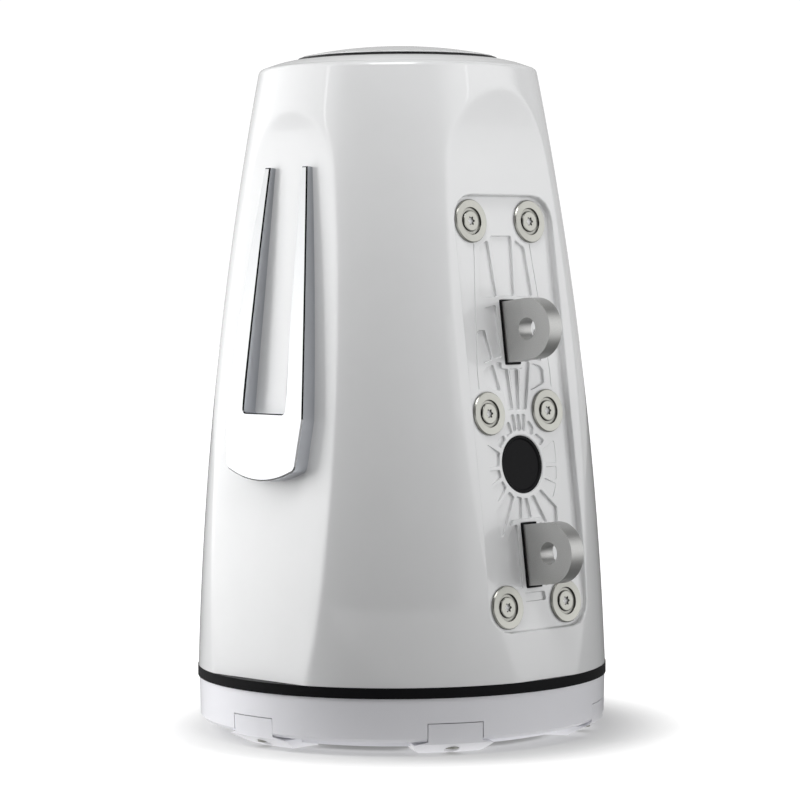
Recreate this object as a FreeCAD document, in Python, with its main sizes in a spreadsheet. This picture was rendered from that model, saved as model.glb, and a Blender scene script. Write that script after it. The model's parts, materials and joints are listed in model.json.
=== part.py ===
"""A tower speaker pod: a white bullet-shaped housing that stands on its round grille.

Millimetres, +Z up. The origin is on the housing's axis at floor level. +X points out of
the mounting pad, and the two chrome fork trims are on the -Y and +Y sides.
"""
import FreeCAD, Part
import math
import os
import re
import Sketcher

SIZES = {
    # Housing shell: a convex arc turned round the axis, with three flat facets.
    "seam_bottom": 27, "seam_top": 32, "seam_radius": 100,
    "shell_foot_radius": 99.7, "shell_shoulder_radius": 67.9, "shell_shoulder_height": 318.6,
    "shell_arc_radius": 1880, "shoulder_roll": 3, "crown_arc_radius": 60, "wall": 3,
    "flange_top": 36.5, "flange_opening": 76, "boss_radius": 5, "boss_top": 52,
    # The cap at the narrow end.
    "cap_radius": 47, "cap_ring_radius": 48.9, "cap_seat_height": 323.6, "cap_ring_top": 326.4,
    "cap_edge_height": 327.2, "cap_top": 332, "cap_opening": 40, "crown_edge_height": 325.4,
    # Mounting facet and the pad recessed into it, in the pad's own tilted frame.
    "pad_tilt": 7.1, "pad_face": 79, "pad_height": 156.2, "pad_depth": 3.3,
    "pad_half_width": 33.2, "pad_half_length": 102.5, "pad_corner": 12,
    "facet_run_out": 118, "facet_arc": 95,
    # Fork facets, in their own tilted frame.
    "fork_tilt": 5.6, "fork_face": 85, "fork_height": 127, "fork_run_out": 148,
    # Mounting hardware.
    "screw_half_gauge": 20, "screw_pitch": 90.6, "screw_radius": 2.5, "head_radius": 5.15,
    "washer_radius": 10.25, "washer_height": 1.4, "washer_floor": 0.4, "head_top": 1.1,
    "torx_radius": 2.0, "torx_depth": 1.8,
    "lug_upper": 38, "lug_lower": -67.3, "lug_reach": 15, "lug_radius": 14.4, "lug_half_width": 4.2,
    "lug_hole": 5.25, "lug_foot_half_width": 13, "lug_foot_half_length": 20,
    "lug_foot_thickness": 5, "gasket_gap": 0.9,
    "lug_gasket_height": 0.4,
    "backbone_thickness": 4, "backbone_half_width": 28, "backbone_half_length": 98,
    "port_offset": -24.6, "port_radius": 14, "port_clearance": 4,
    # Chrome fork trim, in the fork facet's frame.
    "fork_top": 145.7, "fork_top_half": 14.7, "fork_edge_arc": 2000, "fork_foot_arc": 51.7,
    "fork_wide": 27.1, "fork_wide_half": 27, "fork_corner": 5.5, "fork_corner_half": 24.3,
    "fork_bottom": -2.5, "slot_top_half": 11, "slot_bottom_half": 14.5, "slot_bottom": 29.2,
    "fork_proud_bottom": 8, "fork_proud_top": 3.6, "fork_face_arc": 2600, "fork_stud": 2,
    # Front bezel ring and grille.
    "bezel_radius": 99.4, "bezel_bottom": 6.6, "bezel_inner": 86, "shelf_bottom": 22,
    "shelf_opening": 66, "tab_top": 15, "tab_half_width": 13, "tab_gap": 0.4,
    "foot_half_width": 19, "grille_screw_circle": 91, "bezel_screw_circle": 82,
    "hub_radius": 24, "rib_ring_radius": 50, "spoke_half_width": 5.5,
    # Drive unit.
    "driver_radius": 78, "driver_front": 17, "flange_back": 20.5, "driver_screw_circle": 72.5,
    "neck_radius": 44.5, "motor_front": 57.5, "plate_front": 60, "magnet_front": 65,
    "magnet_back": 80, "yoke_back": 86, "pole_radius": 12.4, "coil_inner": 13.2,
    "coil_outer": 13.9, "gap_outer": 14.7, "magnet_radius": 43, "post_radius": 4,
    "roll_inner": 54.5, "roll_outer": 64, "spider_radius": 49,
    "spider_front": 43.8, "spider_back": 48, "ledge_back": 50.5, "tweeter_radius": 16,
    "tweeter_front": 12.6, "tweeter_back": 24, "dome_radius": 9.6, "dome_height": 3,
    # Crossover board on the backbone, and the damping pad under the crown.
    "board_offset": -26, "board_half_width": 24, "board_low": 10, "board_high": 80,
    "damping_low": 262, "damping_high": 300, "damping_radius": 52,
}

doc = FreeCAD.newDocument("tower_speaker_pod")
sheet = doc.addObject("Spreadsheet::Sheet", "Sizes")
for row, (size_name, number) in enumerate(SIZES.items(), 1):
    sheet.set(f"A{row}", size_name)
    sheet.set(f"B{row}", str(number))
    sheet.setAlias(f"B{row}", size_name)
doc.recompute()

Vector = FreeCAD.Vector
subparts = {}

UPRIGHT = None
PAD = ("pad_face", "pad_height", "pad_tilt", 0)
FORK_RIGHT = ("fork_face", "fork_height", "fork_tilt", -90)
FORK_LEFT = ("fork_face", "fork_height", "fork_tilt", 90)
GRILLE_ANGLES = [30 + 60 * step for step in range(6)]
BEZEL_ANGLES = [60 * step for step in range(6)]
SCREW_ROWS = (-1, 0, 1)
FORK_BEVEL = 0.6
CAP_DOME_ARC = (
    "((cap_radius - 0.6) ^ 2 + (cap_top - cap_edge_height) ^ 2)"
    " / (2 * (cap_top - cap_edge_height))"
)


def bound(text):
    """Point every size name in an expression at the sheet."""
    return re.sub(r"[a-z_]+", lambda m: "Sizes." + m[0] if m[0] in SIZES else m[0], str(text))


def value(text):
    """The number that an expression over the size names gives."""
    return float(sheet.evalExpression(bound(text)))


def stand(thing, frame, x="0", y="0", z="0"):
    """Place a thing upright at x, y, z, or at that offset in a tilted facet's own frame."""
    offset = f"vector({bound(x)}; {bound(y)}; {bound(z)})"
    if frame is UPRIGHT:
        thing.setExpression("Placement", f"placement({offset}; rotation(0; 0; 0))")
        return thing
    face, height, tilt, turn = frame
    out = f"rotation({turn}; 0; 0)"
    turned = f"rotation({turn}; -{bound(tilt)}; 0)"
    base = f"{out} * vector({bound(face)}; 0; 0) + vector(0; 0; {bound(height)})"
    thing.setExpression("Placement", f"placement({base} + {turned} * {offset}; {turned})")
    return thing


def subpart(name, thing):
    """Give a thing its own label and put it on the list of sub-parts."""
    thing.Label = name
    subparts[name] = thing
    return thing


def new_body(name):
    return doc.addObject("PartDesign::Body", name)


def origin_plane(body, role):
    return [item for item in body.Origin.OriginFeatures if item.Role == role][0]


def arc_between(start, end, radius, side):
    """An arc from start to end; side +1 bulges to the left of the way, -1 to the right."""
    chord = end - start
    left = Vector(-chord.y, chord.x, 0).normalize()
    back = math.sqrt(max(radius**2 - (chord.Length / 2) ** 2, 0))
    center = (start + end) / 2 - left * side * back
    first, last = (start, end) if side < 0 else (end, start)
    from_angle = math.atan2(first.y - center.y, first.x - center.x)
    to_angle = math.atan2(last.y - center.y, last.x - center.x)
    return Part.ArcOfCircle(Part.Circle(center, Vector(0, 0, 1), radius), from_angle, to_angle)


def outline(body, name, role, corners):
    """A closed sketch. A corner is (x, y), or (x, y, radius, side) where an arc leaves it."""
    sketch = body.newObject("Sketcher::SketchObject", name)
    sketch.AttachmentSupport = [(origin_plane(body, role), "")]
    sketch.MapMode = "FlatFace"
    points = [Vector(value(corner[0]), value(corner[1]), 0) for corner in corners]
    count = len(corners)
    for index, corner in enumerate(corners):
        start, end = points[index], points[(index + 1) % count]
        if len(corner) == 2:
            sketch.addGeometry(Part.LineSegment(start, end))
        else:
            sketch.addGeometry(arc_between(start, end, value(corner[2]), corner[3]))
    # A sketch's arc runs anticlockwise, so one that bulges left starts at its second point.
    starts = [(2, 1) if len(corner) == 4 and corner[3] > 0 else (1, 2) for corner in corners]
    for index in range(count):
        following = (index + 1) % count
        sketch.addConstraint(
            Sketcher.Constraint(
                "Coincident", index, starts[index][1], following, starts[following][0]
            )
        )
    for index, corner in enumerate(corners):
        for kind, text, axis in (("DistanceX", corner[0], -2), ("DistanceY", corner[1], -1)):
            if abs(value(text)) < 1e-9:
                sketch.addConstraint(
                    Sketcher.Constraint("PointOnObject", index, starts[index][0], axis)
                )
                continue
            number = sketch.addConstraint(
                Sketcher.Constraint(kind, -1, 1, index, starts[index][0], value(text))
            )
            sketch.setExpression(f"Constraints[{number}]", bound(text))
        if len(corner) == 4:
            number = sketch.addConstraint(Sketcher.Constraint("Radius", index, value(corner[2])))
            sketch.setExpression(f"Constraints[{number}]", bound(corner[2]))
    return sketch


def turned(name, corners):
    """A body turned round the Z axis from a radius-height outline."""
    body = new_body(name)
    sketch = outline(body, name + "_outline", "XZ_Plane", corners)
    doc.recompute()
    turn = body.newObject("PartDesign::Revolution", name + "_turn")
    turn.Profile = sketch
    turn.ReferenceAxis = (sketch, ["V_Axis"])
    turn.Angle = 360
    return body


def tube(name, inner, outer, low, high):
    return turned(name, [(inner, low), (outer, low), (outer, high), (inner, high)])


def padded(name, role, corners, length, symmetric=True):
    """A body padded from an outline on one of its origin planes."""
    body = new_body(name)
    sketch = outline(body, name + "_outline", role, corners)
    doc.recompute()
    pad = body.newObject("PartDesign::Pad", name + "_pad")
    pad.Profile = sketch
    pad.SideType = "Symmetric" if symmetric else "One side"
    pad.setExpression("Length", bound(length))
    return body


def cylinder(name, radius, height, frame=UPRIGHT, x="0", y="0", z="0", along="z"):
    """A cylinder that starts at x, y, z along its frame's z or x axis, or is centred along y."""
    body = new_body(name)
    role = {"z": "XY_Plane", "x": "YZ_Plane", "y": "XZ_Plane"}[along]
    sketch = body.newObject("Sketcher::SketchObject", name + "_circle")
    sketch.AttachmentSupport = [(origin_plane(body, role), "")]
    sketch.MapMode = "FlatFace"
    sketch.addGeometry(Part.Circle(Vector(), Vector(0, 0, 1), value(radius)))
    sketch.addConstraint(Sketcher.Constraint("Coincident", 0, 3, -1, 1))
    number = sketch.addConstraint(Sketcher.Constraint("Radius", 0, value(radius)))
    sketch.setExpression(f"Constraints[{number}]", bound(radius))
    pad = body.newObject("PartDesign::Pad", name + "_pad")
    pad.Profile = sketch
    pad.SideType = "Symmetric" if along == "y" else "One side"
    pad.setExpression("Length", bound(height))
    return stand(body, frame, x, y, z)


def box(name, length, width, height, frame=UPRIGHT, x="0", y="0", z="0"):
    """A box centred on y, standing from x and z."""
    block = doc.addObject("Part::Box", name)
    block.setExpression("Length", bound(length))
    block.setExpression("Width", bound(width))
    block.setExpression("Height", bound(height))
    return stand(block, frame, x, f"({y}) - ({width}) / 2", z)


def joined(name, things):
    fuse = doc.addObject("Part::MultiFuse", name)
    fuse.Shapes = things
    return fuse


def cut(name, base, tools):
    tool = tools[0] if len(tools) == 1 else joined(name + "_tools", tools)
    result = doc.addObject("Part::Cut", name)
    result.Base = base
    result.Tool = tool
    return result


def common(name, first, second):
    result = doc.addObject("Part::Common", name)
    result.Base = first
    result.Tool = second
    return result


def group(name, things):
    """Several separate solids in one sub-part."""
    bundle = doc.addObject("Part::Compound", name)
    bundle.Links = things
    return bundle


def on_circle(circle, angle):
    """The x and y of a point at an angle on a circle round the axis."""
    return f"({circle}) * cos({angle}deg)", f"({circle}) * sin({angle}deg)"


def cylinders_on_circle(name, radius, height, circle, angles, low):
    made = []
    for angle in angles:
        x, y = on_circle(circle, angle)
        made.append(cylinder(f"{name}_{angle}", radius, height, x=x, y=y, z=low))
    return made


def rounded_rectangle(half_width, half_length, corner):
    """Corners of a rectangle with rounded corners, going anticlockwise."""
    w, l, r = f"({half_width})", f"({half_length})", f"({corner})"
    return [
        (f"{w} - {r}", f"-{l}", r, -1), (w, f"-{l} + {r}"),
        (w, f"{l} - {r}", r, -1), (f"{w} - {r}", l),
        (f"-{w} + {r}", l, r, -1), (f"-{w}", f"{l} - {r}"),
        (f"-{w}", f"-{l} + {r}", r, -1), (f"-{w} + {r}", f"-{l}"),
    ]


# Housing shell ---------------------------------------------------------------------------

def facet_cutter(name, frame, depth, run_out):
    """What a flat facet takes off: a slab whose inner face curves out at its top end."""
    reach = "facet_arc * (1 - cos(30deg))"
    rise = "facet_arc * sin(30deg)"
    body = padded(
        name, "XZ_Plane",
        [
            (depth, "-130"), (f"({depth}) + 50", "-130"),
            (f"({depth}) + 50", f"{run_out} + {rise}"),
            (f"({depth}) + {reach}", f"{run_out} + {rise}", "facet_arc", -1),
            (depth, run_out),
        ],
        "140",
    )
    return stand(body, frame)


def bullet(name, inset, low, top, edge):
    """The round form before faceting, its wall moved in by an inset."""
    foot = f"shell_foot_radius - ({inset})"
    shoulder = f"shell_shoulder_radius - ({inset})"
    roll = "shoulder_roll"
    return turned(
        name,
        [
            ("0", low), (foot, low, "shell_arc_radius", -1),
            (shoulder, top, roll, -1),
            (f"{shoulder} - {roll} + 0.4", f"{top} + {roll} - 0.4", "crown_arc_radius", -1),
            (f"cap_ring_radius - ({inset})", edge), ("0", edge),
        ],
    )


def pad_block(name, grow, low, height):
    body = padded(
        name, "YZ_Plane",
        rounded_rectangle(
            f"pad_half_width + {grow}", f"pad_half_length + {grow}", f"pad_corner + {grow}"
        ),
        height, symmetric=False,
    )
    return stand(body, PAD, x=low)


def screw_places():
    for row in SCREW_ROWS:
        for side in (-1, 1):
            yield f"{row}_{side}", f"{side} * screw_half_gauge", f"{row} * screw_pitch"


def pad_cylinders(name, radius, low, height):
    """One cylinder at each mounting screw, along the pad's own outward axis."""
    return [
        cylinder(f"{name}_{key}", radius, height, PAD, x=low, y=y, z=z, along="x")
        for key, y, z in screw_places()
    ]


def build_housing():
    outer = bullet("outer_form", "0", "seam_top", "shell_shoulder_height", "crown_edge_height")
    inner = bullet("inner_form", "wall", "flange_top", "shell_shoulder_height - wall",
                   "cap_seat_height - wall")
    facets = []
    inner_facets = []
    for label, frame, depth, run_out in (
        ("mount", PAD, "pad_depth", "facet_run_out"),
        ("right", FORK_RIGHT, "0", "fork_run_out"),
        ("left", FORK_LEFT, "0", "fork_run_out"),
    ):
        facets.append(facet_cutter(f"{label}_facet", frame, depth, run_out))
        inset = f"{depth} - wall"
        inner_facets.append(facet_cutter(f"{label}_inner_facet", frame, inset, run_out))
    outside = cut("outside", outer, facets + [pad_block("pad_recess", "0", "0", "30")])
    inside = cut(
        "inside", inner, inner_facets + [pad_block("pad_back", "wall", "-wall", "30")]
    )
    hollow = cut("hollow", outside, [inside])
    bosses = cylinders_on_circle(
        "shell_boss", "boss_radius", "boss_top - seam_top", "bezel_screw_circle",
        BEZEL_ANGLES, "seam_top",
    )
    pilots = cylinders_on_circle(
        "shell_pilot", "1.9", "boss_top - seam_top", "bezel_screw_circle",
        BEZEL_ANGLES, "seam_top - 4",
    )
    holes = pad_cylinders("shell_screw_hole", "screw_radius + 0.3", "-10", "20")
    for label, place in (("upper", "lug_upper"), ("lower", "lug_lower")):
        holes.append(
            box(
                f"{label}_slot", "20", "2 * (lug_half_width + gasket_gap)",
                "2 * (lug_radius + gasket_gap)", PAD,
                x="-10", z=f"{place} - lug_radius - gasket_gap",
            )
        )
    holes.append(
        cylinder("shell_port", "port_radius", "20", PAD, x="-10", z="port_offset", along="x")
    )
    holes.append(cylinder("flange_hole", "flange_opening", "10", z="seam_top - 2"))
    holes.append(cylinder("crown_hole", "cap_opening", "40", z="300"))
    holes.append(cylinder("crown_seat", "cap_ring_radius", "20", z="cap_seat_height"))
    for label, frame in (("right", FORK_RIGHT), ("left", FORK_LEFT)):
        for key, y, z in fork_studs():
            holes.append(
                cylinder(
                    f"{label}_stud_hole_{key}", "fork_stud + 0.2", "20", frame,
                    x="-10", y=y, z=z, along="x",
                )
            )
    subpart("housing_shell", cut("housing", joined("shell_and_bosses", [hollow] + bosses),
                                 holes + pilots))
    subpart("seam_gasket", cut(
        "gasket_with_holes",
        tube("gasket_ring", "78", "seam_radius", "seam_bottom", "seam_top"),
        cylinders_on_circle("gasket_hole", "2.3", "20", "bezel_screw_circle",
                            BEZEL_ANGLES, "seam_bottom - 5"),
    ))


def build_cap():
    subpart("end_cap_ring", turned("cap_ring", [
        ("cap_opening + 1", "cap_seat_height"), ("cap_ring_radius", "cap_seat_height"),
        ("cap_ring_radius", "cap_ring_top - 0.6"), ("cap_ring_radius - 0.6", "cap_ring_top"),
        ("cap_radius", "cap_ring_top"), ("cap_radius", "cap_seat_height + 1.5"),
        ("cap_opening + 1", "cap_seat_height + 1.5"),
    ]))
    subpart("end_cap_disc", turned("cap_disc", [
        ("0", "cap_top - 3"), ("cap_opening - 2.5", "cap_edge_height - 2"),
        ("cap_opening - 2.5", "cap_seat_height - 8"), ("cap_opening - 0.3", "cap_seat_height - 8"),
        ("cap_opening - 0.3", "cap_seat_height + 1.5"), ("cap_radius", "cap_seat_height + 1.5"),
        ("cap_radius", "cap_edge_height - 0.5"),
        ("cap_radius - 0.6", "cap_edge_height", CAP_DOME_ARC, -1), ("0", "cap_top"),
    ]))


# Chrome fork trims -----------------------------------------------------------------------

def fork_studs():
    yield "foot", "0", "13"
    yield "low", "15.4", "113"
    yield "high", "-15.4", "113"


def fork_trim(label, frame):
    """Two tapered prongs joined at the foot, with moulded studs behind."""
    name = f"fork_{label}"
    body = new_body(name)
    front = [
        ("-fork_corner_half + 3.2", "fork_corner - 3.5", "fork_foot_arc", -1),
        ("fork_corner_half - 3.2", "fork_corner - 3.5", "4", -1),
        ("fork_corner_half", "fork_corner"),
        ("fork_wide_half", "fork_wide", "fork_edge_arc", -1), ("fork_top_half", "fork_top"),
        ("slot_top_half", "fork_top"), ("slot_bottom_half", "slot_bottom + 2", "2", 1),
        ("slot_bottom_half - 2", "slot_bottom"), ("-slot_bottom_half + 2", "slot_bottom", "2", 1),
        ("-slot_bottom_half", "slot_bottom + 2"), ("-slot_top_half", "fork_top"),
        ("-fork_top_half", "fork_top", "fork_edge_arc", -1), ("-fork_wide_half", "fork_wide"),
        ("-fork_corner_half", "fork_corner", "4", -1),
    ]
    sketch = outline(body, name + "_front", "YZ_Plane", front)
    doc.recompute()
    pad = body.newObject("PartDesign::Pad", name + "_pad")
    pad.Profile = sketch
    pad.setExpression("Length", bound("fork_proud_bottom + 4"))
    side = [
        ("fork_proud_bottom", "fork_bottom - 1", "fork_face_arc", -1),
        ("fork_proud_top", "fork_top + 1"),
        ("30", "fork_top + 1"), ("30", "fork_bottom - 20"), ("fork_proud_bottom", "fork_bottom - 20"),
    ]
    profile = outline(body, name + "_side", "XZ_Plane", side)
    doc.recompute()
    pocket = body.newObject("PartDesign::Pocket", name + "_face")
    pocket.Profile = profile
    pocket.SideType = "Symmetric"
    pocket.Length = 120
    doc.recompute()
    before = pad.Shape.Volume
    if not pocket.Shape.Volume < before:
        raise RuntimeError("the fork's face was not cut")
    rim = []
    for number, edge in enumerate(body.Shape.Edges, 1):
        if all(vertex.X > value("fork_proud_top") - 1 for vertex in edge.Vertexes):
            rim.append((number, FORK_BEVEL, FORK_BEVEL))
    bevel = doc.addObject("Part::Chamfer", name + "_bevel")
    bevel.Base = body
    bevel.Edges = rim
    doc.recompute()
    stand(bevel, frame)
    studs = [
        cylinder(f"{name}_stud_{key}", "fork_stud", "12", frame, x="-9", y=y, z=z, along="x")
        for key, y, z in fork_studs()
    ]
    subpart(f"fork_trim_{label}", joined(name + "_with_studs", [bevel] + studs))
    nuts = []
    for key, y, z in fork_studs():
        disc = cylinder(f"{name}_nut_{key}", "7", "0.8", frame,
                        x="-wall - 0.8", y=y, z=z, along="x")
        hole = cylinder(f"{name}_nut_hole_{key}", "fork_stud", "5", frame,
                        x="-wall - 3", y=y, z=z, along="x")
        nuts.append(cut(f"{name}_push_nut_{key}", disc, [hole]))
    subpart(f"trim_push_nuts_{label}", group(name + "_nuts", nuts))


# Mounting hardware on the pad ------------------------------------------------------------

def build_pad_hardware():
    washers = []
    screws = []
    nuts = []
    for key, y, z in screw_places():
        washer = turned(f"washer_form_{key}", [
            ("screw_radius + 0.1", "0"), ("washer_radius", "0"),
            ("washer_radius", "washer_height - 0.5"), ("washer_radius - 0.5", "washer_height"),
            ("head_radius + 1.5", "washer_height - 0.2"), ("head_radius + 1.2", "washer_floor"),
            ("screw_radius + 0.1", "washer_floor"),
        ])
        washers.append(lay_on_pad(washer, y, z, "0"))
        screw = turned(f"screw_form_{key}", [
            ("0", "-18"), ("screw_radius", "-18"), ("screw_radius", "washer_floor"),
            ("head_radius", "washer_floor"), ("head_radius", "head_top - 0.3"),
            ("head_radius - 0.3", "head_top"), ("torx_radius", "head_top"),
            ("torx_radius", "head_top - torx_depth"), ("0", "head_top - torx_depth"),
        ])
        screws.append(lay_on_pad(screw, y, z, "0"))
        nut = turned(f"nut_form_{key}", [
            ("screw_radius", "-16"), ("4.5", "-16"), ("4.5", "-wall - backbone_thickness - 1"),
            ("6.5", "-wall - backbone_thickness - 1"), ("6.5", "-wall - backbone_thickness"),
            ("screw_radius", "-wall - backbone_thickness"),
        ])
        nuts.append(lay_on_pad(nut, y, z, "0"))
    subpart("mount_washers", group("washers", washers))
    subpart("mount_screws", group("screws", screws))
    subpart("backbone_rivet_nuts", group("rivet_nuts", nuts))

    plate = padded("backbone_form", "YZ_Plane",
                   rounded_rectangle("backbone_half_width", "backbone_half_length", "8"),
                   "backbone_thickness", symmetric=False)
    stand(plate, PAD, x="-wall - backbone_thickness")
    holes = pad_cylinders("backbone_hole", "screw_radius + 0.3", "-12", "14")
    holes.append(cylinder("backbone_port", "port_radius + port_clearance", "14", PAD,
                          x="-12", z="port_offset", along="x"))
    for label, place in (("upper", "lug_upper"), ("lower", "lug_lower")):
        holes.append(box(f"backbone_slot_{label}", "14", "2 * lug_half_width",
                         "2 * lug_radius", PAD, x="-12", z=f"{place} - lug_radius"))
        holes.extend(lug_screw_cylinders(f"backbone_tap_{label}", "2", place, "-12", "14"))
    subpart("backbone_plate", cut("backbone", plate, holes))

    for label, place in (("upper", "lug_upper"), ("lower", "lug_lower")):
        build_lug(label, place)

    plug = turned("port_plug_form", [
        ("0", "-1.2"), ("port_radius - 2.2", "-1.2"), ("port_radius - 1.6", "-0.6"),
        ("port_radius", "-0.6"), ("port_radius", "-wall"), ("port_radius + 3", "-wall"),
        ("port_radius + 3", "-wall - 2.5"), ("port_radius - 5", "-wall - 2.5"),
        ("port_radius - 5", "-wall - 8"), ("0", "-wall - 8"),
    ])
    subpart("cable_port_grommet", lay_on_pad(plug, "0", "port_offset", "0"))


def lay_on_pad(body, y, z, x):
    """Turn an upright body's axis to point out of the pad and put it at y, z on it."""
    face, height, tilt, turn = PAD
    tilted = f"rotation(0; -{bound(tilt)}; 0)"
    base = f"vector({bound(face)}; 0; {bound(height)})"
    offset = f"vector({bound(x)}; {bound(y)}; {bound(z)})"
    body.setExpression(
        "Placement", f"placement({base} + {tilted} * {offset}; rotation(0; 90 - {bound(tilt)}; 0))"
    )
    return body


def lug_screw_cylinders(name, radius, place, low, height):
    made = []
    for across in (-1, 1):
        for up in (-1, 1):
            made.append(
                cylinder(f"{name}_{across}_{up}", radius, height, PAD, x=low,
                         y=f"{across} * (lug_foot_half_width - 4)",
                         z=f"{place} + {up} * (lug_foot_half_length - 5)", along="x")
            )
    return made


def build_lug(label, place):
    """A D-shaped plate that stands out of the pad, on a foot behind the backbone."""
    reach, radius = "lug_reach", "lug_radius"
    back = "-wall - backbone_thickness"
    plate = box(f"lug_plate_{label}", f"{reach} - ({back})", "2 * lug_half_width",
                f"2 * {radius}", PAD, x=back, z=f"{place} - {radius}")
    nose = cylinder(f"lug_nose_{label}", radius, "2 * lug_half_width", PAD,
                    x=reach, z=place, along="y")
    foot = box(f"lug_foot_{label}", "lug_foot_thickness", "2 * lug_foot_half_width",
               "2 * lug_foot_half_length", PAD,
               x=f"{back} - lug_foot_thickness", z=f"{place} - lug_foot_half_length")
    hole = cylinder(f"lug_hole_{label}", "lug_hole", "40", PAD, x=reach, z=place, along="y")
    foot_holes = lug_screw_cylinders(f"lug_foot_hole_{label}", "2", place, "-14", "8")
    subpart(f"mount_lug_{label}",
            cut(f"lug_{label}", joined(f"lug_solid_{label}", [plate, nose, foot]), [hole] + foot_holes))
    frame_block = box(f"lug_gasket_block_{label}", "wall + lug_gasket_height",
                      "2 * (lug_half_width + gasket_gap)", "2 * (lug_radius + gasket_gap)", PAD,
                      x="-wall", z=f"{place} - lug_radius - gasket_gap")
    opening = box(f"lug_gasket_opening_{label}", "20", "2 * lug_half_width", "2 * lug_radius",
                  PAD, x="-10", z=f"{place} - lug_radius")
    subpart(f"lug_gasket_{label}", cut(f"lug_gasket_frame_{label}", frame_block, [opening]))
    screws = []
    for across in (-1, 1):
        for up in (-1, 1):
            screw = turned(f"lug_screw_{label}_{across}_{up}", [
                ("0", "-16"), ("3.5", "-16"), ("3.5", "-12"), ("2", "-12"), ("2", "-wall - 0.5"),
                ("0", "-wall - 0.5"),
            ])
            screws.append(lay_on_pad(screw, f"{across} * (lug_foot_half_width - 4)",
                                     f"{place} + {up} * (lug_foot_half_length - 5)", "0"))
    subpart(f"lug_screws_{label}", group(f"lug_screw_group_{label}", screws))


# Front: bezel ring and grille ------------------------------------------------------------

def turned_box(name, length, width, height, radius, angle, low):
    """A box whose near end is at a radius, turned to an angle round the axis."""
    block = doc.addObject("Part::Box", name)
    block.setExpression("Length", bound(length))
    block.setExpression("Width", bound(width))
    block.setExpression("Height", bound(height))
    turn = f"rotation({angle}; 0; 0)"
    corner = f"vector({bound(radius)}; -({bound(width)}) / 2; {bound(low)})"
    block.setExpression("Placement", f"placement({turn} * {corner}; {turn})")
    return block


def build_bezel():
    ring = turned("bezel_form", [
        ("bezel_radius", "seam_bottom"), ("bezel_radius - 0.5", "bezel_bottom + 1.6"),
        ("bezel_radius - 2.1", "bezel_bottom"), ("bezel_inner + 1.5", "bezel_bottom"),
        ("bezel_inner", "bezel_bottom + 1.5"), ("bezel_inner", "shelf_bottom"),
        ("shelf_opening", "shelf_bottom"), ("shelf_opening", "seam_bottom"),
        ("bezel_inner + 2.5", "seam_bottom"), ("bezel_inner + 2.5", "12"),
        ("bezel_radius - 5", "12"), ("bezel_radius - 5", "seam_bottom"),
    ])
    bosses = cylinders_on_circle("bezel_boss", "3.8", "15", "grille_screw_circle",
                                 GRILLE_ANGLES, "11")
    cuts = cylinders_on_circle("bezel_tap", "1.9", "30", "grille_screw_circle",
                               GRILLE_ANGLES, "0")
    cuts += cylinders_on_circle("bezel_clear", "2.2", "40", "bezel_screw_circle",
                                BEZEL_ANGLES, "10")
    cuts += cylinders_on_circle("driver_tap", "1.6", "20", "driver_screw_circle",
                                GRILLE_ANGLES, "17")
    for angle in GRILLE_ANGLES:
        cuts.append(turned_box(f"tab_notch_{angle}", "20",
                               "2 * (tab_half_width + tab_gap)", "tab_top + tab_gap",
                               "bezel_radius - 4", angle, "0"))
    subpart("front_bezel_ring", cut("bezel", joined("bezel_solid", [ring] + bosses), cuts))


def grille_arm(angle):
    """A spoke from the hub to a foot."""
    body = padded(f"arm_{angle}", "XZ_Plane", [
        ("hub_radius - 4", "3"), ("62", "3"), ("70", "0"), ("80", "0"),
        ("80", "bezel_bottom"), ("74", "bezel_bottom"), ("hub_radius - 4", "8"),
    ], "2 * spoke_half_width")
    body.Placement = FreeCAD.Placement(Vector(), FreeCAD.Rotation(Vector(0, 0, 1), angle))
    return body


def grille_foot_pair(ring, angle):
    """Two opposite feet: narrow at the tab, flared under the bezel."""
    front = padded(f"foot_front_{angle}", "YZ_Plane", [
        ("-tab_half_width", "tab_top"), ("-tab_half_width", "bezel_bottom"),
        ("-foot_half_width", "bezel_bottom - 1.5", "9", -1), ("-foot_half_width + 4.5", "0"),
        ("foot_half_width - 4.5", "0", "9", -1), ("foot_half_width", "bezel_bottom - 1.5"),
        ("tab_half_width", "bezel_bottom"), ("tab_half_width", "tab_top"),
    ], "260")
    front.Placement = FreeCAD.Placement(Vector(), FreeCAD.Rotation(Vector(0, 0, 1), angle))
    return common(f"feet_{angle}", ring, front)


def build_grille():
    solids = [
        tube("grille_hub", "7", "hub_radius", "3", "8"),
        tube("grille_ring", "rib_ring_radius - 2.5", "rib_ring_radius + 2.5", "3", "7.5"),
        tube("grille_rim", "79", "bezel_inner - 0.4", "3", "8"),
    ]
    cuts = []
    foot_ring = turned("foot_ring", [
        ("72", "0"), ("bezel_radius - 12.4", "0"), ("bezel_radius - 0.9", "bezel_bottom - 1"),
        ("bezel_radius - 0.3", "tab_top"), ("bezel_radius - 2.9", "tab_top"),
        ("bezel_radius - 2.9", "bezel_bottom"), ("72", "bezel_bottom"),
    ])
    solids += [grille_arm(angle) for angle in GRILLE_ANGLES]
    solids += [grille_foot_pair(foot_ring, angle) for angle in GRILLE_ANGLES[:3]]
    cuts += cylinders_on_circle("foot_hole", "2.2", "20", "grille_screw_circle",
                                GRILLE_ANGLES, "-5")
    cuts += cylinders_on_circle("foot_counterbore", "3.6", "10", "grille_screw_circle",
                                GRILLE_ANGLES, "-5.4")
    subpart("grille", cut("grille_cut", joined("grille_solid", solids), cuts))
    subpart("grille_badge", turned("badge_form", [
        ("0", "0"), ("hub_radius - 3.6", "0"), ("hub_radius - 2", "1.6"),
        ("hub_radius - 2", "3"), ("6.5", "3"), ("6.5", "7"), ("0", "7"),
    ]))


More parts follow.
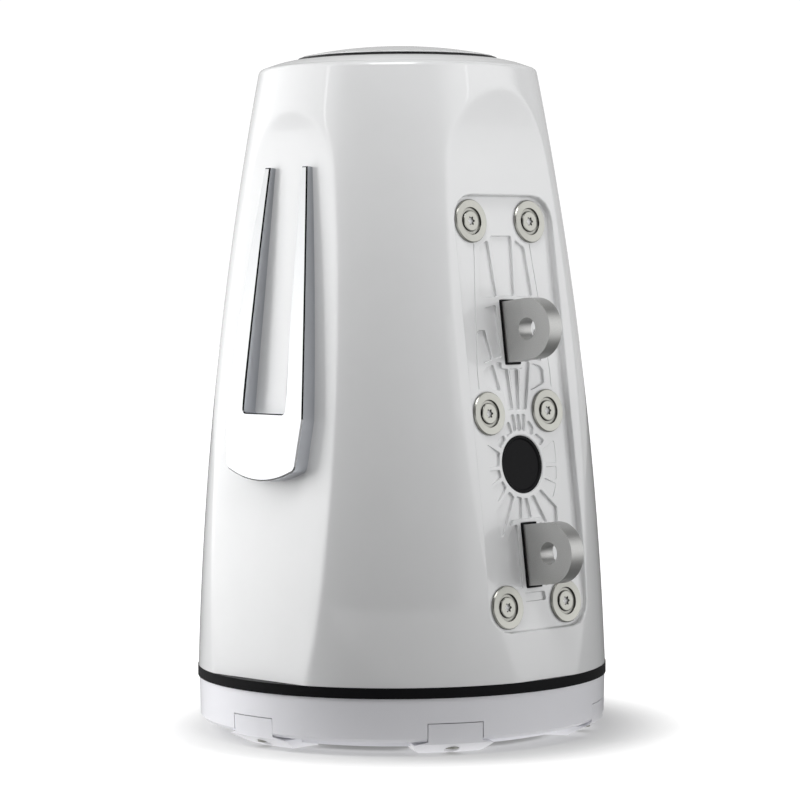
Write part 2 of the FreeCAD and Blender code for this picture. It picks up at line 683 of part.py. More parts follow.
def headed_screw(name, shaft, head, low, head_height, top):
    """A screw standing head down: low is the head's face and top is the tip."""
    return turned(name, [
        ("0", f"{low} + 1"), ("1.2", f"{low} + 1"), ("1.2", low), (head, low),
        (head, f"{low} + {head_height}"), (shaft, f"{low} + {head_height}"), (shaft, top),
        ("0", top),
    ])


def screw_group(name, shaft, head, low, head_height, top, circle, angles):
    screws = []
    for angle in angles:
        x, y = on_circle(circle, angle)
        screw = headed_screw(f"{name}_{angle}", shaft, head, low, head_height, top)
        screws.append(stand(screw, UPRIGHT, x, y))
    subpart(name, group(name + "_set", screws))


# Drive unit ------------------------------------------------------------------------------

def build_driver():
    basket = turned("basket_form", [
        ("58", "driver_front"), ("driver_radius", "driver_front"),
        ("driver_radius", "flange_back"), ("64.5", "flange_back"), ("64.5", "31"),
        ("51.5", "ledge_back"), ("neck_radius", "ledge_back"), ("neck_radius", "plate_front"),
        ("18", "plate_front"), ("18", "motor_front"), ("42", "motor_front"),
        ("42", "spider_back"), ("spider_radius + 0.5", "spider_back"), ("62", "30"),
        ("62", "flange_back"),
        ("58", "flange_back"),
    ])
    windows = [
        turned_box(f"basket_window_{angle}", "30", "28", "14", "44", angle, "31.5")
        for angle in BEZEL_ANGLES
    ]
    windows += [
        turned_box(f"neck_window_{angle}", "20", "24", "5", "36", angle, "52")
        for angle in GRILLE_ANGLES
    ]
    windows += cylinders_on_circle("basket_hole", "2", "20", "driver_screw_circle",
                                   GRILLE_ANGLES, "10")
    subpart("driver_basket", cut("basket", basket, windows))
    subpart("driver_gasket", cut(
        "driver_gasket_cut",
        tube("driver_gasket_ring", "66.5", "driver_radius", "flange_back", "shelf_bottom"),
        cylinders_on_circle("driver_gasket_hole", "2", "20", "driver_screw_circle",
                            GRILLE_ANGLES, "10"),
    ))
    subpart("surround", turned("surround_form", [
        ("roll_inner - 2", "driver_front - 0.7"), ("roll_inner", "driver_front - 0.7", "4.9", -1),
        ("roll_outer", "driver_front - 0.7"), ("69", "driver_front - 0.7"),
        ("69", "driver_front"), ("roll_outer - 0.6", "driver_front", "4.3", 1),
        ("roll_inner + 0.6", "driver_front"), ("roll_inner - 2", "driver_front"),
    ]))
    subpart("cone", turned("cone_form", [
        ("coil_inner", "43.4"), ("coil_inner", "42.2"), ("roll_inner - 1.5", "driver_front"),
        ("roll_inner + 0.5", "driver_front"), ("roll_inner + 0.5", "driver_front + 0.8"),
        ("roll_inner - 0.9", "driver_front + 0.8"),
    ]))
    waves = 5
    front = []
    back = []
    for step in range(2 * waves + 1):
        radius = f"coil_inner + (spider_radius - 3 - coil_inner) * {step} / {2 * waves}"
        height = "spider_front + 0.2" if step % 2 else "spider_back - 0.8"
        front.append((radius, height))
        back.append((radius, f"{height} + 0.6"))
    subpart("spider", turned("spider_form", front + [
        ("spider_radius", "spider_back - 0.8"), ("spider_radius", "spider_back - 0.2"),
    ] + back[::-1]))
    subpart("voice_coil_former", tube("former", "coil_inner - 0.3", "coil_inner",
                                      "42.2", "70"))
    subpart("voice_coil", tube("coil", "coil_inner", "coil_outer", "57.5", "67.5"))
    subpart("top_plate", tube("plate", "gap_outer", "40", "plate_front", "magnet_front"))
    subpart("magnet_ring", tube("magnet", "22", "magnet_radius", "magnet_front", "magnet_back"))
    subpart("pole_yoke", turned("yoke", [
        ("post_radius", "plate_front"), ("pole_radius", "plate_front"),
        ("pole_radius", "magnet_back"), ("41", "magnet_back"), ("41", "yoke_back"),
        ("post_radius", "yoke_back"),
    ]))
    subpart("magnet_boot", turned("boot", [
        ("0", "yoke_back"), ("magnet_radius", "yoke_back"), ("magnet_radius", "magnet_front"),
        ("magnet_radius + 2", "magnet_front"), ("magnet_radius + 2", "yoke_back + 1.3"),
        ("magnet_radius + 0.8", "yoke_back + 2.5"), ("0", "yoke_back + 2.5"),
    ]))
    subpart("tweeter_post", turned("post", [
        ("0", "tweeter_back"), ("post_radius", "tweeter_back"), ("post_radius", "yoke_back"),
        ("0", "yoke_back"),
    ]))
    subpart("tweeter_housing", turned("tweeter_cup", [
        ("0", "tweeter_back - 2"), ("tweeter_radius - 2", "tweeter_back - 2"),
        ("tweeter_radius - 2", "tweeter_front + 1.2"), ("tweeter_radius", "tweeter_front + 1.2"),
        ("tweeter_radius", "tweeter_back - 1.5"), ("tweeter_radius - 1.5", "tweeter_back"),
        ("0", "tweeter_back"),
    ]))
    subpart("tweeter_faceplate", turned("faceplate", [
        ("dome_radius + 1.2", "tweeter_front + 1.2"), ("dome_radius + 1.8", "tweeter_front"),
        ("tweeter_radius - 0.5", "tweeter_front"), ("tweeter_radius", "tweeter_front + 0.5"),
        ("tweeter_radius", "tweeter_front + 1.2"),
    ]))
    subpart("tweeter_magnet", tube("tweeter_slug", "3", "8", "tweeter_back - 6",
                                   "tweeter_back - 2"))
    subpart("tweeter_coil", tube("tweeter_winding", "dome_radius - 1", "dome_radius - 0.4",
                                 "tweeter_front + dome_height + 1", "19.5"))
    subpart("tweeter_dome", turned("dome", [
        ("0", "tweeter_front + 0.6", "17", -1),
        ("dome_radius", "tweeter_front + dome_height + 0.6"),
        ("dome_radius", "tweeter_front + dome_height + 1"),
        ("dome_radius - 0.8", "tweeter_front + dome_height + 1", "16", 1),
        ("0", "tweeter_front + 1.1"),
    ]))
    terminal = box("terminal_form", "10", "18", "9", x="neck_radius - 2", z="ledge_back")
    neck = cylinder("terminal_seat", "neck_radius", "20", z="45")
    subpart("terminal_block", cut("terminal_cut", terminal, [neck]))
    subpart("terminal_tabs", group("tabs", [
        box("tab_plus", "8", "6.3", "0.8", x="neck_radius + 8", y="-4.5", z="ledge_back + 4"),
        box("tab_minus", "8", "4.8", "0.8", x="neck_radius + 8", y="4.5", z="ledge_back + 4"),
    ]))


# Crossover and damping -------------------------------------------------------------------

def build_crossover():
    back = "-wall - backbone_thickness"
    board = box("board_form", "1.6", "2 * board_half_width", "board_high - board_low", PAD,
                x="board_offset", z="board_low")
    holes = []
    posts = []
    screws = []
    for across in (-1, 1):
        for end, place in (("low", "board_low + 4"), ("high", "board_high - 4")):
            y = f"{across} * (board_half_width - 4)"
            key = f"{end}_{across}"
            holes.append(cylinder(f"board_hole_{key}", "1.6", "10", PAD,
                                  x="board_offset - 4", y=y, z=place, along="x"))
            posts.append(cylinder(f"standoff_{key}", "3", f"{back} - board_offset - 1.6", PAD,
                                  x="board_offset + 1.6", y=y, z=place, along="x"))
            head = turned(f"board_screw_{key}", [
                ("0", "board_offset - 2"), ("2.8", "board_offset - 2"), ("2.8", "board_offset"),
                ("1.5", "board_offset"), ("1.5", "board_offset + 1.6"),
                ("0", "board_offset + 1.6"),
            ])
            screws.append(lay_on_pad(head, y, place, "0"))
    subpart("crossover_board", cut("board", board, holes))
    subpart("crossover_standoffs", group("standoffs", posts))
    subpart("crossover_screws", group("board_screws", screws))
    coil = turned("inductor_form", [
        ("5", "board_offset - 14"), ("11", "board_offset - 14"), ("11", "board_offset"),
        ("5", "board_offset"),
    ])
    subpart("crossover_inductor", lay_on_pad(coil, "0", "board_high - 18", "0"))
    capacitor = cylinder("capacitor_form", "6.5", "26", PAD, x="board_offset - 6.5",
                         y="-8", z="board_low + 8")
    subpart("crossover_capacitor", capacitor)
    subpart("crossover_resistor", box("resistor_form", "8", "9", "22", PAD,
                                      x="board_offset - 8", y="10", z="board_low + 10"))


build_housing()
build_cap()
fork_trim("right", FORK_RIGHT)
fork_trim("left", FORK_LEFT)
build_pad_hardware()
build_bezel()
build_grille()
screw_group("grille_screws", "1.9", "3.2", "2.4", "2.2", "20", "grille_screw_circle", GRILLE_ANGLES)
screw_group("bezel_screws", "1.9", "3.4", "18.6", "3.4", "46", "bezel_screw_circle", BEZEL_ANGLES)
screw_group("driver_screws", "1.6", "3.2", "14.2", "2.8", "26", "driver_screw_circle", GRILLE_ANGLES)
build_driver()
build_crossover()
subpart("damping_pad", tube("damping_form", "8", "damping_radius", "damping_low", "damping_high"))
doc.recompute()

for item in doc.Objects:
    if "Invalid" in item.State or "Error" in item.State:
        raise RuntimeError(f"{item.Name} did not build: {item.State}")
for name, thing in subparts.items():
    if thing.Shape.isNull() or not thing.Shape.isValid():
        raise RuntimeError(f"{name} has no valid shape")

os.makedirs("parts", exist_ok=True)
for name, thing in subparts.items():
    thing.Shape.exportStep(f"parts/{name}.step")
    bounds = thing.Shape.BoundBox
    print(f"{name}: {len(thing.Shape.Solids)} solids, {thing.Shape.Volume / 1000:.2f} cm3, "
          f"x {bounds.XMin:.1f} {bounds.XMax:.1f}, y {bounds.YMin:.1f} {bounds.YMax:.1f}, "
          f"z {bounds.ZMin:.1f} {bounds.ZMax:.1f}")
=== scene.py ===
"""The looks of a tower speaker pod: a white tapered shell on its round grille."""
import json
import math

import bpy
import numpy as np
from mathutils import Matrix, Vector
from mathutils.geometry import delaunay_2d_cdt


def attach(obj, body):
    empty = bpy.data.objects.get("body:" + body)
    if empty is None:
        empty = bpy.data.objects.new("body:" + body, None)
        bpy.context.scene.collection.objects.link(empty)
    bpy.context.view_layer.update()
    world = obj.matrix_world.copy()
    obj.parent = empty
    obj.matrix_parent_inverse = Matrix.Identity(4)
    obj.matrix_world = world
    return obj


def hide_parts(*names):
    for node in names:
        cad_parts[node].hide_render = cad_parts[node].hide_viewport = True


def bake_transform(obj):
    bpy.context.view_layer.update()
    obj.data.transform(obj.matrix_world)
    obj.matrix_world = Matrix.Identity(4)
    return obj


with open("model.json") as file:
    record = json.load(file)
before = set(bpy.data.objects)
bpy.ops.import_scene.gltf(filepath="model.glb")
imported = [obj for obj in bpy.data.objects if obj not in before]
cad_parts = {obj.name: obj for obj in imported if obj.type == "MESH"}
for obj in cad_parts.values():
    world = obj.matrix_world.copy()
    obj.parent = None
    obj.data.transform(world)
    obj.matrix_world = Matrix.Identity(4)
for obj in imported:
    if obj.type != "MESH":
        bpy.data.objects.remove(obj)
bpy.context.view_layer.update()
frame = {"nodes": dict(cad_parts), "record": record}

MM = 0.001
nodes = frame["nodes"]

# Camera and studio -----------------------------------------------------------------------

CAMERA_AZIMUTH = math.radians(45.5)
CAMERA_DISTANCE = 1.444
CAMERA_HEIGHT = 0.221
CAMERA_PITCH = math.radians(2.42)
CAMERA_ROLL = math.radians(0.41)
CAMERA_LENS = 132.75
SENSOR_WIDTH = 36


def make_camera():
    data = bpy.data.cameras.new("camera")
    data.sensor_width = SENSOR_WIDTH
    data.lens = CAMERA_LENS
    camera = bpy.data.objects.new("camera", data)
    bpy.context.scene.collection.objects.link(camera)
    back = Vector((math.sin(CAMERA_AZIMUTH), -math.cos(CAMERA_AZIMUTH), 0))
    camera.location = back * CAMERA_DISTANCE + Vector((0, 0, CAMERA_HEIGHT))
    look = -back * math.cos(CAMERA_PITCH) - Vector((0, 0, math.sin(CAMERA_PITCH)))
    turn = look.to_track_quat("-Z", "Y").to_matrix().to_4x4()
    camera.matrix_world = (
        Matrix.Translation(camera.location) @ turn @ Matrix.Rotation(-CAMERA_ROLL, 4, "Z")
    )
    bpy.context.scene.camera = camera


def around(azimuth, distance, height):
    """A place at an azimuth in degrees, measured like the camera's, round the axis."""
    angle = math.radians(azimuth)
    return Vector((math.sin(angle) * distance, -math.cos(angle) * distance, height))


def softbox(name, azimuth, distance, height, width, tall, power, target, mirrored):
    """A rectangular area light that faces the axis at its target's height."""
    data = bpy.data.lights.new(name, "AREA")
    data.shape = "RECTANGLE"
    data.size = width
    data.size_y = tall
    data.energy = power
    lamp = bpy.data.objects.new(name, data)
    bpy.context.scene.collection.objects.link(lamp)
    lamp.location = around(azimuth, distance, height)
    aim = Vector((0, 0, target)) - lamp.location
    lamp.visible_camera = False
    lamp.visible_glossy = mirrored
    lamp.rotation_mode = "QUATERNION"
    lamp.rotation_quaternion = aim.to_track_quat("-Z", "Y")


# Softboxes: name, azimuth, distance, height, width, length, power, the height that they are
# aimed at, and whether gloss mirrors them.
SOFTBOXES = (
    ("top_light", 40, 0.35, 0.75, 0.3, 0.3, 1.6, 0.25, True),
    ("near_left_light", -42, 0.3, 0.18, 0.14, 0.3, 0.62, 0.15, False),
    ("low_right_light", 122, 0.9, 0.05, 0.6, 0.08, 1.0, 0.3, False),
    ("left_strip", -14, 1.6, 0.5, 0.05, 1.6, 0.8, 0.15, True),
    ("right_strip", 104, 1.6, 0.5, 0.05, 1.6, 0.5, 0.15, True),
)
# Bright patches of the room: azimuth, elevation, the cosines where each starts and is full,
# and its strength.
ROOM_LEVEL = 0.03
ROOM_PATCHES = (
    (-52, 12, 0.58, 0.86, 1.2),
    (119, 6, 0.70, 0.88, 1.15),
    (45, 88, 0.5, 0.9, 0.12),
    (225, 10, 0.4, 0.8, 0.5),
)
BACKDROP_STRENGTH = 1.05

# The floor. Each glow is two pairs of a distance and the strength there, with distances from
# the axis, or along +X for RIGHT_GLOW. The camera sees FLOOR_SEEN and SEEN_GLOW_AND_PAINTED_SHADOW; the object
# is lit by FLOOR_LIGHTING, UNDER_GLOW and RIGHT_GLOW.
FLOOR_HALF = 6
# The glow that the camera sees fades near the axis, a painted shadow round the object's foot.
SEEN_GLOW_AND_PAINTED_SHADOW = ((0.091, 0.2), (0.165, 0.95))
UNDER_GLOW = ((0.125, 0), (0.085, 0.6))
RIGHT_GLOW = ((0.2, 0), (0.55, 0.75))
FLOOR_SEEN = (0.55, 0.55, 0.55)
FLOOR_ROUGHNESS = 0.7
FLOOR_LIGHTING = (0.27, 0.27, 0.27, 1)


def map_range(tree, value, low, high, smooth=True):
    """Maps a value from one (from, to) pair to another."""
    node = tree.nodes.new("ShaderNodeMapRange")
    if smooth:
        node.interpolation_type = "SMOOTHSTEP"
    for end, (start, result) in (("Min", low), ("Max", high)):
        node.inputs["From " + end].default_value = start
        node.inputs["To " + end].default_value = result
    tree.links.new(value, node.inputs["Value"])
    return node.outputs["Result"]


def added(tree, one, other):
    """The sum of a socket and either a number or another socket."""
    node = tree.nodes.new("ShaderNodeMath")
    tree.links.new(one, node.inputs[0])
    if isinstance(other, float):
        node.inputs[1].default_value = other
    else:
        tree.links.new(other, node.inputs[1])
    return node.outputs[0]


def mixed_for_camera(tree, others, camera):
    """One shader for the camera's rays and another for all the rest."""
    path = tree.nodes.new("ShaderNodeLightPath")
    mix = tree.nodes.new("ShaderNodeMixShader")
    tree.links.new(path.outputs["Is Camera Ray"], mix.inputs["Fac"])
    tree.links.new(others, mix.inputs[1])
    tree.links.new(camera, mix.inputs[2])
    return mix.outputs[0]


def lobe(tree, azimuth, elevation, start, full, strength):
    """A soft round patch of brightness on the room's walls."""
    where = tree.nodes.new("ShaderNodeTexCoord")
    toward = tree.nodes.new("ShaderNodeVectorMath")
    toward.operation = "DOT_PRODUCT"
    tilt = math.radians(elevation)
    toward.inputs[1].default_value = around(azimuth, math.cos(tilt), math.sin(tilt))
    tree.links.new(where.outputs["Generated"], toward.inputs[0])
    return map_range(tree, toward.outputs["Value"], (start, 0), (full, strength))


def make_world():
    """A dim room with bright patches on all sides, seen white by the camera."""
    world = bpy.data.worlds.new("studio")
    bpy.context.scene.world = world
    world.use_nodes = True
    tree = world.node_tree
    tree.nodes.clear()
    seen = tree.nodes.new("ShaderNodeBackground")
    seen.inputs["Color"].default_value = (1, 1, 1, 1)
    seen.inputs["Strength"].default_value = BACKDROP_STRENGTH
    room = tree.nodes.new("ShaderNodeBackground")
    room.inputs["Color"].default_value = (1, 1, 1, 1)
    strength = added(tree, lobe(tree, *ROOM_PATCHES[0]), ROOM_LEVEL)
    for patch in ROOM_PATCHES[1:]:
        strength = added(tree, strength, lobe(tree, *patch))
    tree.links.new(strength, room.inputs["Strength"])
    out = tree.nodes.new("ShaderNodeOutputWorld")
    surface = mixed_for_camera(tree, room.outputs[0], seen.outputs[0])
    tree.links.new(surface, out.inputs["Surface"])


def make_floor():
    """A pale floor that the camera sees nearly white but for a cast and a painted shadow near the
    axis.
    """
    mesh = bpy.data.meshes.new("floor")
    half = FLOOR_HALF
    mesh.from_pydata(
        [(-half, -half, 0), (half, -half, 0), (half, half, 0), (-half, half, 0)],
        [], [(0, 1, 2, 3)],
    )
    floor = bpy.data.objects.new("floor", mesh)
    bpy.context.scene.collection.objects.link(floor)
    material, tree, shader = new_material(
        "floor", FLOOR_SEEN, FLOOR_ROUGHNESS,
        Specular_IOR_Level=0.0, Emission_Color=(1, 1, 1, 1),
    )
    where = tree.nodes.new("ShaderNodeTexCoord")
    distance = tree.nodes.new("ShaderNodeVectorMath")
    distance.operation = "LENGTH"
    tree.links.new(where.outputs["Object"], distance.inputs[0])
    # Painted shadow: this glow fades near the axis.
    seen = map_range(tree, distance.outputs["Value"], *SEEN_GLOW_AND_PAINTED_SHADOW)
    tree.links.new(seen, shader.inputs["Emission Strength"])
    side = tree.nodes.new("ShaderNodeSeparateXYZ")
    tree.links.new(where.outputs["Object"], side.inputs[0])
    under = map_range(tree, distance.outputs["Value"], *UNDER_GLOW)
    right = map_range(tree, side.outputs["X"], *RIGHT_GLOW)
    glow = tree.nodes.new("ShaderNodeEmission")
    tree.links.new(added(tree, under, right), glow.inputs["Strength"])
    dull = tree.nodes.new("ShaderNodeBsdfDiffuse")
    dull.inputs["Color"].default_value = FLOOR_LIGHTING
    both = tree.nodes.new("ShaderNodeAddShader")
    tree.links.new(dull.outputs[0], both.inputs[0])
    tree.links.new(glow.outputs[0], both.inputs[1])
    surface = mixed_for_camera(tree, both.outputs[0], shader.outputs[0])
    tree.links.new(surface, tree.nodes["Material Output"].inputs["Surface"])
    mesh.materials.append(material)


def make_studio():
    make_world()
    make_floor()
    for box in SOFTBOXES:
        softbox(*box)


# Materials -------------------------------------------------------------------------------

NOISE_DETAIL = 3.0
BUMP_STRENGTH = 0.4
# Where in the noise a colour is at its darkest and at its lightest.
RAMP_ENDS = (0.3, 0.7)


def new_material(name, colour, roughness, metallic=0.0, coat=0.0, **sockets):
    material = bpy.data.materials.new(name)
    material.use_nodes = True
    shader = material.node_tree.nodes["Principled BSDF"]
    shader.inputs["Base Color"].default_value = (*colour, 1)
    shader.inputs["Roughness"].default_value = roughness
    shader.inputs["Metallic"].default_value = metallic
    shader.inputs["Coat Weight"].default_value = coat
    for socket, number in sockets.items():
        shader.inputs[socket.replace("_", " ")].default_value = number
    return material, material.node_tree, shader


def object_noise(tree, scale, stretch):
    """A noise texture in the object's own metres."""
    where = tree.nodes.new("ShaderNodeTexCoord")
    mapping = tree.nodes.new("ShaderNodeMapping")
    mapping.inputs["Scale"].default_value = stretch
    noise = tree.nodes.new("ShaderNodeTexNoise")
    noise.inputs["Scale"].default_value = scale
    noise.inputs["Detail"].default_value = NOISE_DETAIL
    tree.links.new(where.outputs["Object"], mapping.inputs["Vector"])
    tree.links.new(mapping.outputs["Vector"], noise.inputs["Vector"])
    return noise


def vary_roughness(tree, shader, noise, low, high):
    roughness = map_range(tree, noise.outputs["Fac"], (0, low), (1, high), smooth=False)
    tree.links.new(roughness, shader.inputs["Roughness"])


def vary_colour(tree, shader, noise, dark, light):
    ramp = tree.nodes.new("ShaderNodeValToRGB")
    for stop, position, colour in zip(ramp.color_ramp.elements, RAMP_ENDS, (dark, light)):
        stop.position = position
        stop.color = (*colour, 1)
    tree.links.new(noise.outputs["Fac"], ramp.inputs["Fac"])
    tree.links.new(ramp.outputs["Color"], shader.inputs["Base Color"])


def add_bump(tree, shader, noise, depth):
    bump = tree.nodes.new("ShaderNodeBump")
    bump.inputs["Strength"].default_value = BUMP_STRENGTH
    bump.inputs["Distance"].default_value = depth
    tree.links.new(noise.outputs["Fac"], bump.inputs["Height"])
    tree.links.new(bump.outputs["Normal"], shader.inputs["Normal"])


def plain_finish(name, colour, roughness, spread, scale, depth, metallic=0.0, coat=0.0,
                 shade=0.06, stretch=(1, 1, 1), **sockets):
    """A finish whose colour, roughness and surface vary a little at one scale."""
    material, tree, shader = new_material(name, colour, roughness, metallic, coat, **sockets)
    noise = object_noise(tree, scale, stretch)
    vary_roughness(tree, shader, noise, roughness - spread, roughness + spread)
    dark = tuple(channel * (1 - shade) for channel in colour)
    light = tuple(min(channel * (1 + shade), 1) for channel in colour)
    vary_colour(tree, shader, noise, dark, light)
    if depth:
        add_bump(tree, shader, noise, depth)
    return material


# Painted reflection in chrome's colour, by how squarely it faces along Y, as the trims' outward
# faces do:
# bright on those faces and painted dark where a wall turns partly away, as if it mirrored a darker
# room.
CHROME_PAINTED_REFLECTION_STOPS = (
    (0.0, (0.8, 0.81, 0.84, 1)),
    (0.25, (0.68, 0.68, 0.72, 1)),
    (0.55, (0.02, 0.02, 0.03, 1)),
    (0.97, (1, 1, 1, 1)),
)
# Painted shade on chrome: two heights in metres, and how bright its colour is painted below the
# first and above the second.
CHROME_PAINTED_SHADE_HEIGHTS = ((0.17, 1), (0.27, 0.76))
# Painted shade in hollows: two degrees of openness, and how bright a surface's colour is painted
# below the first and above the second.
PAINTED_HOLLOW_SHADE = ((0.35, 0.03), (0.8, 1))
HOLLOW_REACH = 0.0022
HOLLOW_SAMPLES = 8


def linked_colour(shader):
    return shader.inputs["Base Color"].links[0].from_socket


def scale_colour(tree, shader, colour, factor):
    scaled = tree.nodes.new("ShaderNodeVectorMath")
    scaled.operation = "SCALE"
    tree.links.new(colour, scaled.inputs[0])
    tree.links.new(factor, scaled.inputs["Scale"])
    tree.links.new(scaled.outputs["Vector"], shader.inputs["Base Color"])


def paint_chrome_reflection_and_shade(material):
    """Paints a dark reflection into chrome's walls and painted shade on its upper end."""
    tree = material.node_tree
    shader = tree.nodes["Principled BSDF"]
    where = tree.nodes.new("ShaderNodeTexCoord")
    facing = tree.nodes.new("ShaderNodeSeparateXYZ")
    tree.links.new(where.outputs["Normal"], facing.inputs[0])
    outward = tree.nodes.new("ShaderNodeMath")
    outward.operation = "ABSOLUTE"
    tree.links.new(facing.outputs["Y"], outward.inputs[0])
    # Painted reflection: this ramp darkens chrome's colour on walls by how they face along Y.
    painted_reflection = tree.nodes.new("ShaderNodeValToRGB")
    tree.links.new(outward.outputs[0], painted_reflection.inputs["Fac"])
    stops = painted_reflection.color_ramp.elements
    for stop, (position, colour) in zip(stops, (CHROME_PAINTED_REFLECTION_STOPS[0], CHROME_PAINTED_REFLECTION_STOPS[-1])):
        stop.position = position
        stop.color = colour
    for position, colour in CHROME_PAINTED_REFLECTION_STOPS[1:-1]:
        stops.new(position).color = colour
    with_painted_reflection = tree.nodes.new("ShaderNodeVectorMath")
    with_painted_reflection.operation = "MULTIPLY"
    tree.links.new(linked_colour(shader), with_painted_reflection.inputs[0])
    tree.links.new(painted_reflection.outputs["Color"], with_painted_reflection.inputs[1])
    # Painted shade: chrome's colour darkens toward its upper end.
    place = tree.nodes.new("ShaderNodeSeparateXYZ")
    tree.links.new(where.outputs["Object"], place.inputs[0])
    painted_shade_by_height = map_range(tree, place.outputs["Z"], *CHROME_PAINTED_SHADE_HEIGHTS, smooth=False)
    scale_colour(tree, shader, with_painted_reflection.outputs["Vector"], painted_shade_by_height)


def paint_shade_in_hollows(material):
    """Paints shade into a surface's colour in grooves and recesses."""
    tree = material.node_tree
    shader = tree.nodes["Principled BSDF"]
    openness = tree.nodes.new("ShaderNodeAmbientOcclusion")
    openness.samples = HOLLOW_SAMPLES
    openness.inputs["Distance"].default_value = HOLLOW_REACH
    share = map_range(tree, openness.outputs["AO"], *PAINTED_HOLLOW_SHADE, smooth=False)
    scale_colour(tree, shader, linked_colour(shader), share)


def make_finishes():
    return {
        "gloss_white": plain_finish(
            "gloss_white", (0.83, 0.835, 0.84), 0.32, 0.03, 60, 0, coat=1.0, shade=0.006,
            Coat_Roughness=0.035, Coat_IOR=1.5,
        ),
        "satin_white": plain_finish(
            "satin_white", (0.95, 0.95, 0.99), 0.34, 0.04, 70, 0, coat=0.6, shade=0.008,
            Coat_Roughness=0.12,
        ),
        "chrome": plain_finish(
            "chrome", (0.90, 0.91, 0.92), 0.045, 0.015, 90, 0, metallic=1.0, shade=0.01,
        ),
        "bead_blasted": plain_finish(
            "bead_blasted", (0.60, 0.60, 0.59), 0.42, 0.05, 2600, 0.00006, metallic=1.0,
            shade=0.08,
        ),
        "stainless": plain_finish(
            "stainless", (0.52, 0.52, 0.48), 0.3, 0.02, 300, 0, metallic=1.0, shade=0.03,
        ),
        "zinc_steel": plain_finish(
            "zinc_steel", (0.62, 0.63, 0.65), 0.35, 0.08, 400, 0.00002, metallic=1.0, shade=0.08,
        ),
        "black_rubber": plain_finish(
            "black_rubber", (0.006, 0.006, 0.007), 0.5, 0.06, 500, 0.00003, shade=0.2,
            Specular_IOR_Level=0.12,
        ),
        "black_plastic": plain_finish(
            "black_plastic", (0.010, 0.010, 0.011), 0.38, 0.05, 700, 0.00003, shade=0.15,
            Specular_IOR_Level=0.25,
        ),
        "ferrite": plain_finish(
            "ferrite", (0.05, 0.05, 0.055), 0.6, 0.08, 300, 0.00005, shade=0.25,
        ),
        "cone_poly": plain_finish(
            "cone_poly", (0.66, 0.67, 0.68), 0.35, 0.05, 240, 0.00003, shade=0.05,
        ),
        "spider_cloth": plain_finish(
            "spider_cloth", (0.42, 0.26, 0.10), 0.85, 0.05, 1500, 0.0001, shade=0.2,
        ),
        "copper": plain_finish(
            "copper", (0.72, 0.32, 0.16), 0.3, 0.05, 200, 0.0001, metallic=1.0, shade=0.15,
            stretch=(1, 1, 12),
        ),
        "dome": plain_finish(
            "dome", (0.72, 0.73, 0.75), 0.25, 0.04, 400, 0.00001, metallic=1.0, shade=0.04,
        ),
        "circuit_board": plain_finish(
            "circuit_board", (0.02, 0.13, 0.05), 0.35, 0.06, 300, 0.00003, coat=0.4, shade=0.2,
        ),
        "capacitor_film": plain_finish(
            "capacitor_film", (0.65, 0.42, 0.05), 0.3, 0.05, 150, 0.00003, coat=0.3, shade=0.1,
        ),
        "resistor_body": plain_finish(
            "resistor_body", (0.72, 0.70, 0.65), 0.7, 0.08, 500, 0.00008, shade=0.1,
        ),
        "tinned_brass": plain_finish(
            "tinned_brass", (0.78, 0.72, 0.55), 0.3, 0.06, 300, 0.00002, metallic=1.0, shade=0.06,
        ),
        "foam": plain_finish(
            "foam", (0.06, 0.06, 0.065), 0.9, 0.04, 900, 0.0006, shade=0.4,
        ),
    }


# Edges of these nodes that turn by more than EASED_ANGLE are rounded by this many millimetres.
EASED_NODES = {
    "fork_trim_right": 0.35, "fork_trim_left": 0.35, "mount_lug_upper": 0.45,
    "mount_lug_lower": 0.45, "front_bezel_ring": 0.4, "grille": 0.4, "end_cap_ring": 0.2,
    "end_cap_disc": 0.3, "lug_gasket_upper": 0.2, "lug_gasket_lower": 0.2,
}
EASED_ANGLE = math.radians(28)


def ease_edges(piece, width):
    bevel = piece.modifiers.new("eased_edges", "BEVEL")
    bevel.width = width * MM
    bevel.segments = 3
    bevel.limit_method = "ANGLE"
    bevel.angle_limit = EASED_ANGLE
    bevel.harden_normals = True


def finish_cad_nodes():
    for part in frame["record"]["subparts"]:
        mesh = nodes[part["node"]].data
        mesh.materials.clear()
        mesh.materials.append(finishes[part["material_slot"]])
    for name, width in EASED_NODES.items():
        ease_edges(nodes[name], width)


# Housing skin ----------------------------------------------------------------------------
# Lengths are in millimetres. In the pad's frame w stands out of the pad, u runs along +Y
# and v up the pad.

SHELL_FOOT = (99.7, 32.0)
SHELL_SHOULDER = (67.9, 318.6)
SHELL_CROWN = (65.3, 321.2)
SHELL_LIP = (48.9, 325.4)
SIDE_BOW = 1880
SHOULDER_ROUND = 3
CROWN_BOW = 60
ARC_STEPS = 200
PAD_TILT = math.radians(7.1)
PAD_FACE = 79.0
PAD_HEIGHT = 156.2
PAD_RUN_OUT = 118.0
# The facet round the pad stands this far over the pad's floor.
FACET_RISE = 3.3
FORK_TILT = math.radians(5.6)
FORK_FACE = 85.0
FORK_HEIGHT = 127.0
FORK_RUN_OUT = 148.0
# Every facet starts this far down its own plane, and ends in an arc and a straight tail.
FACET_FOOT = -170
RUN_OUT_RADIUS = 95.0
RUN_OUT_ANGLES = np.radians(np.linspace(0, 30, 40))
RUN_OUT_TAIL = 60
# The creases along the facets' sides are this soft, and widen over these heights to the arches.
CREASE_WIDTH = 0.3
ARCH_WIDTH = 0.4
ARCH_HEIGHTS = (272, 296)
# A facet cuts the shell only where the cosine of the angle from its middle is over this.
LEAST_COSINE = 0.2
FAR_AWAY = 1000.0
SEARCH_ROUNDS = 25
